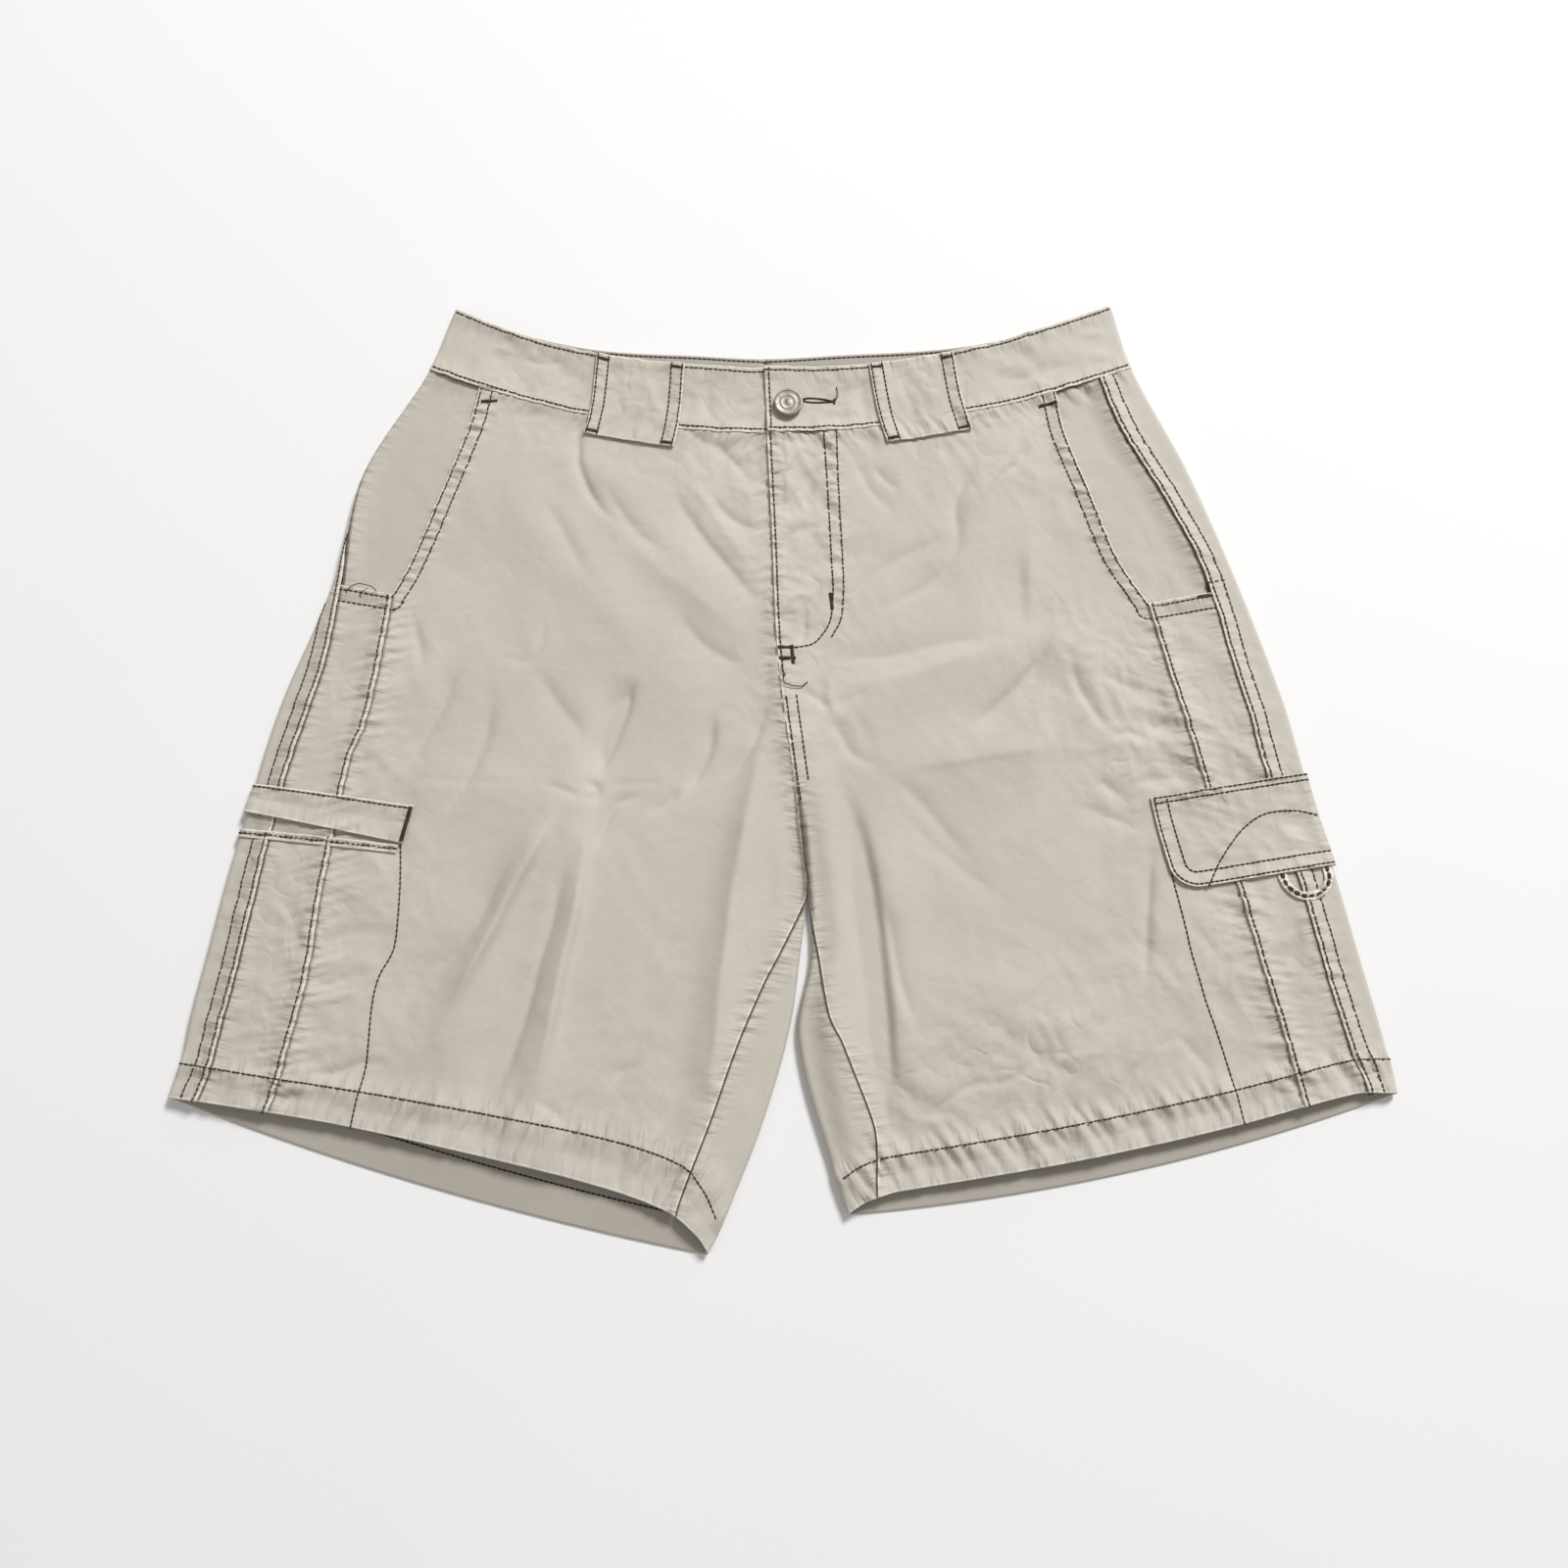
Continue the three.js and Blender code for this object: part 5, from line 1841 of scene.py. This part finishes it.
class Topstitching:
    """All the rows of stitches, grouped by the cloth that they go with."""

    def __init__(self, halves: dict[Side, Half], ground: Ground) -> None:
        """Keeps the halves and the cloth."""
        self.halves = halves
        self.ground = ground
        self.groups: dict[str, list[Row]] = {}

    def plan(self, side: Side, across: Array, down: Array) -> Array:
        """Places on the cloth seen in plan."""
        return self.halves[side].at(across, down)[0][..., :2]

    def add(self, group: str, plan: Array, thread: Thread = TOPSTITCH, on: Sequence[str] = ()) -> None:
        """Adds a row to a group, on the group's own cloth unless other cloth is named."""
        self.groups.setdefault(group, []).append(Row(plan, tuple(on) or (group,), thread))

    def lay(self, group: str, side: Side, across: Array, down: Array, thread: Thread = TOPSTITCH) -> None:
        """Adds a row that is given by its places on the cloth."""
        self.add(group, self.plan(side, across, down), thread)

    def seam(self, group: str, side: Side, curve: Callable[[Array], Array], start: float, end: float,
             aside: float) -> None:
        """Adds a row beside a seam that runs down the leg.

        Args:
            group: the group's name.
            side: the half.
            curve: gives the seam's place across at a row.
            start: the first row.
            end: the last row.
            aside: how far from the seam it lies, positive towards the front.
        """
        down = np.arange(start, end, 1.0)
        across = curve(down) + aside
        plan = self.plan(side, across, down)
        hidden = self.halves[side].mouth(across, down) > 0.5
        cuts = np.flatnonzero(np.diff(hidden)) + 1
        for piece, covered in zip(np.split(plan, cuts), np.split(hidden, cuts)):
            if not covered[0]:
                self.add(group, piece)

    def legs(self) -> None:
        """Adds the rows of both legs."""
        for side, half in self.halves.items():
            n = side.value
            front, panel, back = f"front_{n}", f"side_panel_{n}", f"back_{n}"
            last = HEM - 3
            self.seam(front, side, POCKET_MOUTH[side], 2, SIDE_PANEL_TOP + 1, 1.5)
            self.seam(front, side, POCKET_MOUTH[side], 2, SIDE_PANEL_TOP + 3, 7.9)
            turn = np.linspace(0, math.pi / 2, 9)
            across = POCKET_MOUTH[side](SIDE_PANEL_TOP) + 7.9 - 5.5 * (1 - np.cos(turn))
            self.lay(front, side, across, SIDE_PANEL_TOP + 3 + 5.2 * np.sin(turn))
            self.seam(panel, side, SIDE_SEAM[side], SIDE_PANEL_TOP + 1, last, -1.2)
            self.seam(back, side, OUTSEAM[side], 2 if side is Side.LEFT else 100, last, -1.2)
            self.seam(back, side, OUTSEAM[side], 2 if side is Side.LEFT else 150, last, -7.4)
            foot = np.arange(0, 1.001, 0.03)
            for below in (1.6, 8.2):
                row = SIDE_PANEL_TOP + below
                across = mix(OUTSEAM[side](row) + 1.2, SIDE_SEAM[side](row) - 1.2, foot)
                self.lay(panel, side, across, row + 0 * foot)
            run = np.arange(2, half.length(HEM) - 1, 1.0)
            hem = self.plan(side, run, half.hem_row(run) - HEM_DEPTH + 0.8)
            self.add(front, hem, on=[front, panel, back])
            inside = np.arange(50, half.length(HEM) - 25, 1.0)
            self.lay(back, side, -inside, HEM - 17 + 0 * inside)
            across = np.arange(QUARTER_FOLD, half.length(0) - 1.5, 1.0)
            share = np.clip(across / half.length(BAND_TOP), 0, 1)
            band = f"waistband_{n}"
            self.lay(band, side, across, FRONT_TOP[side](share) + 2.2)
            self.lay(band, side, across, 0 * across - 1.4)
            back_top = BACK_TOP(share) + 1.7
            seen = back_top < FRONT_TOP[side](share) - 1.6
            self.lay(band, side, -across[seen], back_top[seen])

    def fly(self) -> None:
        """Adds the rows of the fly and the centre seam."""
        left = Side.LEFT
        centre = self.halves[left].length
        front = "front_left"
        self.seam(front, left, centre, 2, 148, -1.4)
        self.seam(front, left, centre, 160, 216, -1.4)
        self.seam(front, left, centre, 160, 206, -6.9)
        self.seam("waistband_left", left, centre, -31, 0, -2.0)
        outer = ((29, 179), (30, 144), (32, 100), (32, 83), (30.5, 70), (26, 61))
        inner = ((22, 179), (24, 144), (26, 100), (26.5, 86), (25, 70), (19.5, 60), (14, 55.5), (4, 53.5))
        self.add(front, along(outer))
        self.add(front, along(inner))
        for points in (((-4, 54), (5, 54)), ((-3, 48), (6, 48)), ((4, 55), (5, 45)), ((25, 85), (26, 76))):
            self.add(front, along(points), BARTACK)

    def pockets(self) -> None:
        """Adds the rows that hold the cargo pockets, their trims and the bar tacks."""
        bags = {
            Side.RIGHT: ((-200, -54), (-199, -76), (-200, -105), (-207, -121), (-210, -136), (-211, -162),
                         (-214, -180), (-217, -196)),
            Side.LEFT: ((200, -61), (202, -72), (209, -107), (214, -130), (220, -151), (226, -173),
                        (231, -196)),
        }
        for side, points in bags.items():
            front = f"front_{side.value}"
            self.add(front, along(points), on=[front, f"side_panel_{side.value}"])
        s = np.linspace(0.012, 0.985, 90)
        down = mix(mix(*BAND_ROWS[0], s), mix(*BAND_ROWS[1], s), 0.09)
        self.lay("cargo_band_right", Side.RIGHT, BAND_REACH * s, down)
        end = np.arange(254.6, 273, 1.0)
        self.lay("cargo_band_right", Side.RIGHT, BAND_REACH - 1.2 + 0 * end, end, END_TACK)
        lip = self.plan(Side.RIGHT, LIP_REACH * s, mix(*LIP_ROWS[0], s) + 2.3)
        self.add("cargo_band_right", lip, on=["cargo_lip_right"])
        flap = "cargo_flap_left"
        top, bottom = FLAP_ROWS
        bend = FLAP_REACH - FLAP_CORNER
        turn = np.linspace(0, math.pi / 2, 18)
        for aside, start in ((1.6, 247), (8.4, 248)):
            corner = FLAP_CORNER - aside
            legs = np.arange(start, bottom - FLAP_CORNER, 1.0)
            run = np.arange(bend - 0.5, 0, -1.0)
            across = np.concatenate([FLAP_REACH - aside + 0 * legs, bend + corner * np.cos(turn), run])
            foot = bottom - FLAP_CORNER + corner * np.sin(turn)
            self.lay(flap, Side.LEFT, across, np.concatenate([legs, foot, bottom - aside + 0 * run]))
        run = np.arange(0.5, 83, 1.0)
        for below in (0.9, 3.6):
            self.lay(flap, Side.LEFT, run, top + below + 0 * run)
        self.add(flap, along(((220, -74), (228, -59), (239, -45), (251, -37), (267, -35), (278, -37))))
        self.add("front_right", along(((-168.5, 197.5), (-160, 198))), BARTACK)
        self.add("front_left", along(((142, 194.5), (150.5, 196.5))), BARTACK)
        self.add("side_panel_left", along(((223.5, 82.6), (230.5, 84.2))), BARTACK)
        self.add("back_left", along(((230.5, 91), (238, 92.5))))

    def loops(self) -> None:
        """Adds the rows of the belt loops and the dashes of the pull loop."""
        for side, (top, bottom, outer_top, inner_top, outer_bottom, inner_bottom) in BELT_LOOPS.items():
            name = f"belt_loop_{side.value}"
            t = np.linspace(0.03, 0.97, 46)
            outer = mix(outer_top, outer_bottom, t)
            inner = mix(inner_top, inner_bottom, t)
            for across in (outer + 1.3, outer + 7.3, inner - 1.3, inner - 7.3):
                self.lay(name, side, across, mix(top, bottom, t))
            for at in (0.055, 0.955):
                first = mix(outer_top, outer_bottom, at)
                last = mix(inner_top, inner_bottom, at)
                for start, end in ((first + 1.0, first + 7.6), (last - 7.6, last - 1.0)):
                    across = np.linspace(start, end, 9)
                    self.lay(name, side, across, mix(top, bottom, at) + 0 * across, BARTACK)
        middle, foot = LOOP_CENTRE
        legs = np.linspace(foot - 1.8, foot, 3)[:-1]
        turns = np.linspace(0, math.pi, 40)
        reach = np.concatenate([1 + 0 * legs, np.cos(turns), -1 + 0 * legs])
        down = np.concatenate([legs, foot + LOOP_RADIUS * np.sin(turns), legs[::-1]])
        self.lay("pull_loop_left", Side.LEFT, middle + LOOP_RADIUS * reach, down, TAPE_DASH)

    def buttonhole(self) -> None:
        """Adds the worked edge of the buttonhole."""
        turn = np.linspace(0, 2 * math.pi, 60)
        reach = (1 - np.cos(turn)) / 2
        ring = np.stack([27.6 - 17.0 * reach, 197.4 + (0.35 + 1.5 * reach) * np.sin(turn)], -1)
        self.add("waistband_left", ring, BUTTONHOLE)
        self.add("waistband_left", along(((27.8, 195.8), (28.2, 199.2))), BUTTONHOLE)

    def sew(self, tree: StitchTree, thread: Material) -> dict[str, Object]:
        """Lays all stitches.

        Args:
            tree: the stitch tree.
            thread: their finish.

        Returns:
            One piece of stitches for each group.
        """
        sewn = {}
        for group, rows in self.groups.items():
            meshes = []
            for kind in {row.thread: None for row in rows}:
                alike = [row for row in rows if row.thread == kind]
                lines = [self.ground.drop(row.plan, row.on, kind.rise) for row in alike]
                lines = [line for line in lines if len(line[0]) > 1]
                if not lines:
                    LOG.warning("%s: no row landed", group)
                    continue
                values = {
                    "Pitch": kind.pitch * MM, "Length": kind.length * MM, "Width": kind.width * MM,
                    "Height": kind.height * MM, "Turn": kind.turn, "Lean": kind.lean,
                    "Seed": STITCH_SEED, "Thread": thread,
                }
                meshes.append(tree.apply(line_object(lines), values))
            sewn[group] = place(f"{group}_stitches", joined(meshes), "cloth")
            LOG.info("%s: %d faces of stitches", group, len(sewn[group].data.polygons))
        return sewn


def joined(meshes: Sequence[Mesh]) -> Mesh:
    """Joins meshes that share one material.

    Args:
        meshes: what is joined.

    Returns:
        One mesh.
    """
    first, *rest = [linked("join", mesh) for mesh in meshes]
    if rest:
        with bpy.context.temp_override(active_object=first, selected_editable_objects=[first, *rest]):
            bpy.ops.object.join()
    mesh = first.data
    bpy.data.objects.remove(first)
    return mesh


@dataclass(frozen=True)
class Tail:
    """A loose end of thread: its points in plan and how high above the cloth each stands."""

    name: str
    on: str
    points: tuple[tuple[float, float, float], ...]


TAILS = (
    Tail("buttonhole_tail", "waistband_left",
         ((27.0, 198, 0.4), (29.0, 198.6, 0.9), (29.6, 202, 1.3), (29.2, 206, 0.5))),
    Tail("pocket_tail", "pocket_facing_right",
         ((-237, 82, 0.6), (-236, 86.5, 3.0), (-230, 90, 3.0), (-222, 87.5, 2.2), (-220, 83, 1.0),
          (-226, 81.5, 1.2), (-229, 84, 2.4), (-225.5, 87.5, 1.4))),
    Tail("fly_tail", "front_left",
         ((-1, 45, 0.6), (-0.6, 40.5, 1.6), (0.6, 37.6, 1.8), (-0.4, 35.8, 1.2), (1.4, 33.4, 1.6),
          (5, 32, 1.2), (9, 32, 1.0), (12.5, 34.5, 0.5))),
)
TAIL_RADIUS = 0.26


def lay_tails(tree: TailTree, ground: Ground, thread: Material) -> dict[str, Object]:
    """Makes the loose thread ends.

    Args:
        tree: the tail tree.
        ground: the cloth.
        thread: their finish.

    Returns:
        The tails by the node that they lie on.
    """
    tails = {}
    for tail in TAILS:
        given = np.array(tail.points)
        plan = rounded_path(given[:, :2], 6)
        lift = rounded_path(given[:, [2, 2]], 6)[:, 0]
        points, normals = ground.drop(plan, [tail.on], 0)
        points = points + normals * lift[: len(points), None] * MM
        mesh = tree.apply(line_object([(points, normals)]), {"Radius": TAIL_RADIUS * MM, "Thread": thread})
        tails[tail.on] = place(tail.name, mesh, "cloth")
        LOG.info("%s: laid", tail.name)
    return tails


@dataclass(frozen=True)
class Button:
    """The metal shank button: a dished cap with a raised rim, a fine ring and a centre boss."""

    sides: int = 72
    profile: tuple[Pair, ...] = (
        (0, 0), (3.6, 0), (4.2, 0.2), (4.2, 1.0), (6.9, 1.0), (7.5, 1.25), (7.9, 1.7), (8.0, 2.3),
        (7.9, 2.8), (7.6, 3.15), (7.2, 3.3), (6.9, 3.28), (6.7, 3.05), (6.4, 2.95), (5.2, 2.88),
        (4.3, 2.86), (4.15, 2.98), (3.95, 3.0), (3.75, 2.86), (3.0, 2.82), (2.3, 2.8), (1.75, 2.78),
        (1.55, 2.95), (1.2, 3.05), (0.6, 3.1), (0, 3.1),
    )

    def build(self, material: Material) -> Object:
        """Turns the profile where the CAD button is.

        Args:
            material: its finish.

        Returns:
            The piece.
        """
        low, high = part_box("button")
        turn = np.linspace(0, 2 * math.pi, self.sides, endpoint=False)
        rings = []
        for radius, height in self.profile:
            ring = np.stack([radius * np.cos(turn), radius * np.sin(turn), height + 0 * turn], -1)
            rings.append(ring[:1] if radius == 0 else ring)
        points = np.concatenate(rings) * MM + np.array([(low.x + high.x) / 2, (low.y + high.y) / 2, low.z])
        faces = []
        first = 0
        for near, far in zip(rings[:-1], rings[1:]):
            second = first + len(near)
            for k in range(self.sides):
                after = (k + 1) % self.sides
                if len(near) == 1:
                    faces.append((first, second + after, second + k))
                elif len(far) == 1:
                    faces.append((first + k, first + after, second))
                else:
                    faces.append((first + k, first + after, second + after, second + k))
            first = second
        mesh = bpy.data.meshes.new("button_cap")
        mesh.from_pydata(points.tolist(), [], faces)
        mesh.shade_smooth()
        mesh.materials.append(material)
        return place("button_cap", mesh, "button", ["button"])


@dataclass(frozen=True)
class Studio:
    """The floor, the lights and the camera."""

    tilt: float = 12.0
    distance: float = 780.0
    lens: float = 33.75
    aim_y: float = -19.0
    key_power: float = 191.0
    fill_power: float = 3.0
    ambient: float = 0.36

    def floor(self, material: Material) -> None:
        """Lays the floor under the shorts."""
        reach = 3.0
        mesh = bpy.data.meshes.new("floor")
        corners = [(-reach, -reach, 0), (reach, -reach, 0), (reach, reach, 0), (-reach, reach, 0)]
        mesh.from_pydata(corners, [], [(0, 1, 2, 3)])
        mesh.materials.append(material)
        linked("floor", mesh)

    def lamp(self, name: str, at: tuple[float, float, float], size: float, power: float) -> None:
        """Hangs one soft area light that faces the shorts.

        Args:
            name: its name.
            at: its place in metres.
            size: its side in metres.
            power: its power in watts.
        """
        data = bpy.data.lights.new(name, "AREA")
        data.shape = "SQUARE"
        data.size = size
        data.energy = power
        light = linked(name, data)
        light.location = at
        light.rotation_euler = (-Vector(at)).to_track_quat("-Z", "Y").to_euler()

    def light(self) -> None:
        """Sets the lights and the sky."""
        self.lamp("key", (1.74, 2.62, 2.85), 1.1, self.key_power)
        self.lamp("fill", (-0.9, -0.7, 1.5), 1.6, self.fill_power)
        world = bpy.data.worlds.new("studio")
        world.use_nodes = True
        world.node_tree.nodes["Background"].inputs[0].default_value = (1.0, 0.99, 0.975, 1)
        world.node_tree.nodes["Background"].inputs[1].default_value = self.ambient
        bpy.context.scene.world = world
        bpy.context.scene.view_settings.view_transform = "Standard"

    def camera(self) -> None:
        """Sets the camera at the photograph's angle."""
        tilt = math.radians(self.tilt)
        data = bpy.data.cameras.new("camera")
        data.lens = self.lens
        data.sensor_width = 36.0
        camera = linked("camera", data)
        y = self.aim_y - self.distance * math.sin(tilt)
        camera.location = (0, y * MM, self.distance * math.cos(tilt) * MM)
        camera.rotation_euler = (tilt, 0, 0)
        bpy.context.scene.camera = camera


def write_sizes() -> None:
    """Brings the view layer up to date."""
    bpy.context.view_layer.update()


def main() -> None:
    """Builds the cloth, sews it, and sets the light and the camera."""
    logging.basicConfig(level=logging.INFO, format="%(name)s %(message)s")
    heights = Relief().make()
    LOG.info("height map: %d places", heights.main.size)
    halves = {side: Half(side, heights, Noise(PUCKER_SEED)) for side in Side}
    cloth = ClothFinish().material()
    tape = ClothFinish("cream_tape", (0.66, 0.62, 0.53, 1), (0.58, 0.53, 0.44, 1)).material()
    thread = ThreadFinish().material()
    nickel = NickelFinish().material()
    panels = []
    for half in halves.values():
        leg = Leg(half)
        waist = Waist(half)
        panels += [leg.front(), leg.side_panel(), leg.back(), leg.pocket_facing()]
        panels += [waist.waistband(), waist.belt_loop()]
    trims = Trims(halves[Side.RIGHT], halves[Side.LEFT])
    panels += [trims.band(), trims.lip(), trims.flap()]
    loop = trims.pull_loop()
    pieces = {panel.name: panel.build(cloth) for panel in panels}
    pieces[loop.name] = loop.build(tape, "tape")
    ground = Ground()
    for name, piece in pieces.items():
        ground.add(name, piece)
    sewing = Topstitching(halves, ground)
    sewing.legs()
    sewing.fly()
    sewing.pockets()
    sewing.loops()
    sewing.buttonhole()
    stitches = sewing.sew(StitchTree(), thread)
    tails = lay_tails(TailTree(), ground, thread)
    Button().build(nickel)
    declare(panels, pieces, stitches, tails)
    studio = Studio()
    studio.floor(FloorFinish().material())
    studio.light()
    studio.camera()
    write_sizes()


def declare(panels: Sequence[Panel], pieces: dict[str, Object], stitches: dict[str, Object],
            tails: dict[str, Object]) -> None:
    """Works out what is sewn to each cloth piece and what it rests on, and does nothing more with it.

    Args:
        panels: the panels.
        pieces: their pieces by node.
        stitches: the stitches by node.
        tails: the loose ends by node.
    """
    carried = {"cargo_flap_left": ["pull_loop_left"], "cargo_band_right": ["cargo_lip_right"]}
    rests = {name: "floor" for name in ("back_right", "back_left", "waistband_right", "waistband_left")}
    for panel in panels:
        if panel.name == "cargo_lip_right":
            continue
        names = [panel.name, *carried.get(panel.name, [])]
        extras = [pieces[name] for name in names[1:]]
        extras += [group[name] for group in (stitches, tails) for name in names if name in group]
        side = panel.half.side.value
        on = "back_" + side if panel.name.startswith(("front", "side", "pocket")) else "front_" + side
        on = rests.get(panel.name, on)


if __name__ == "__main__":
    main()
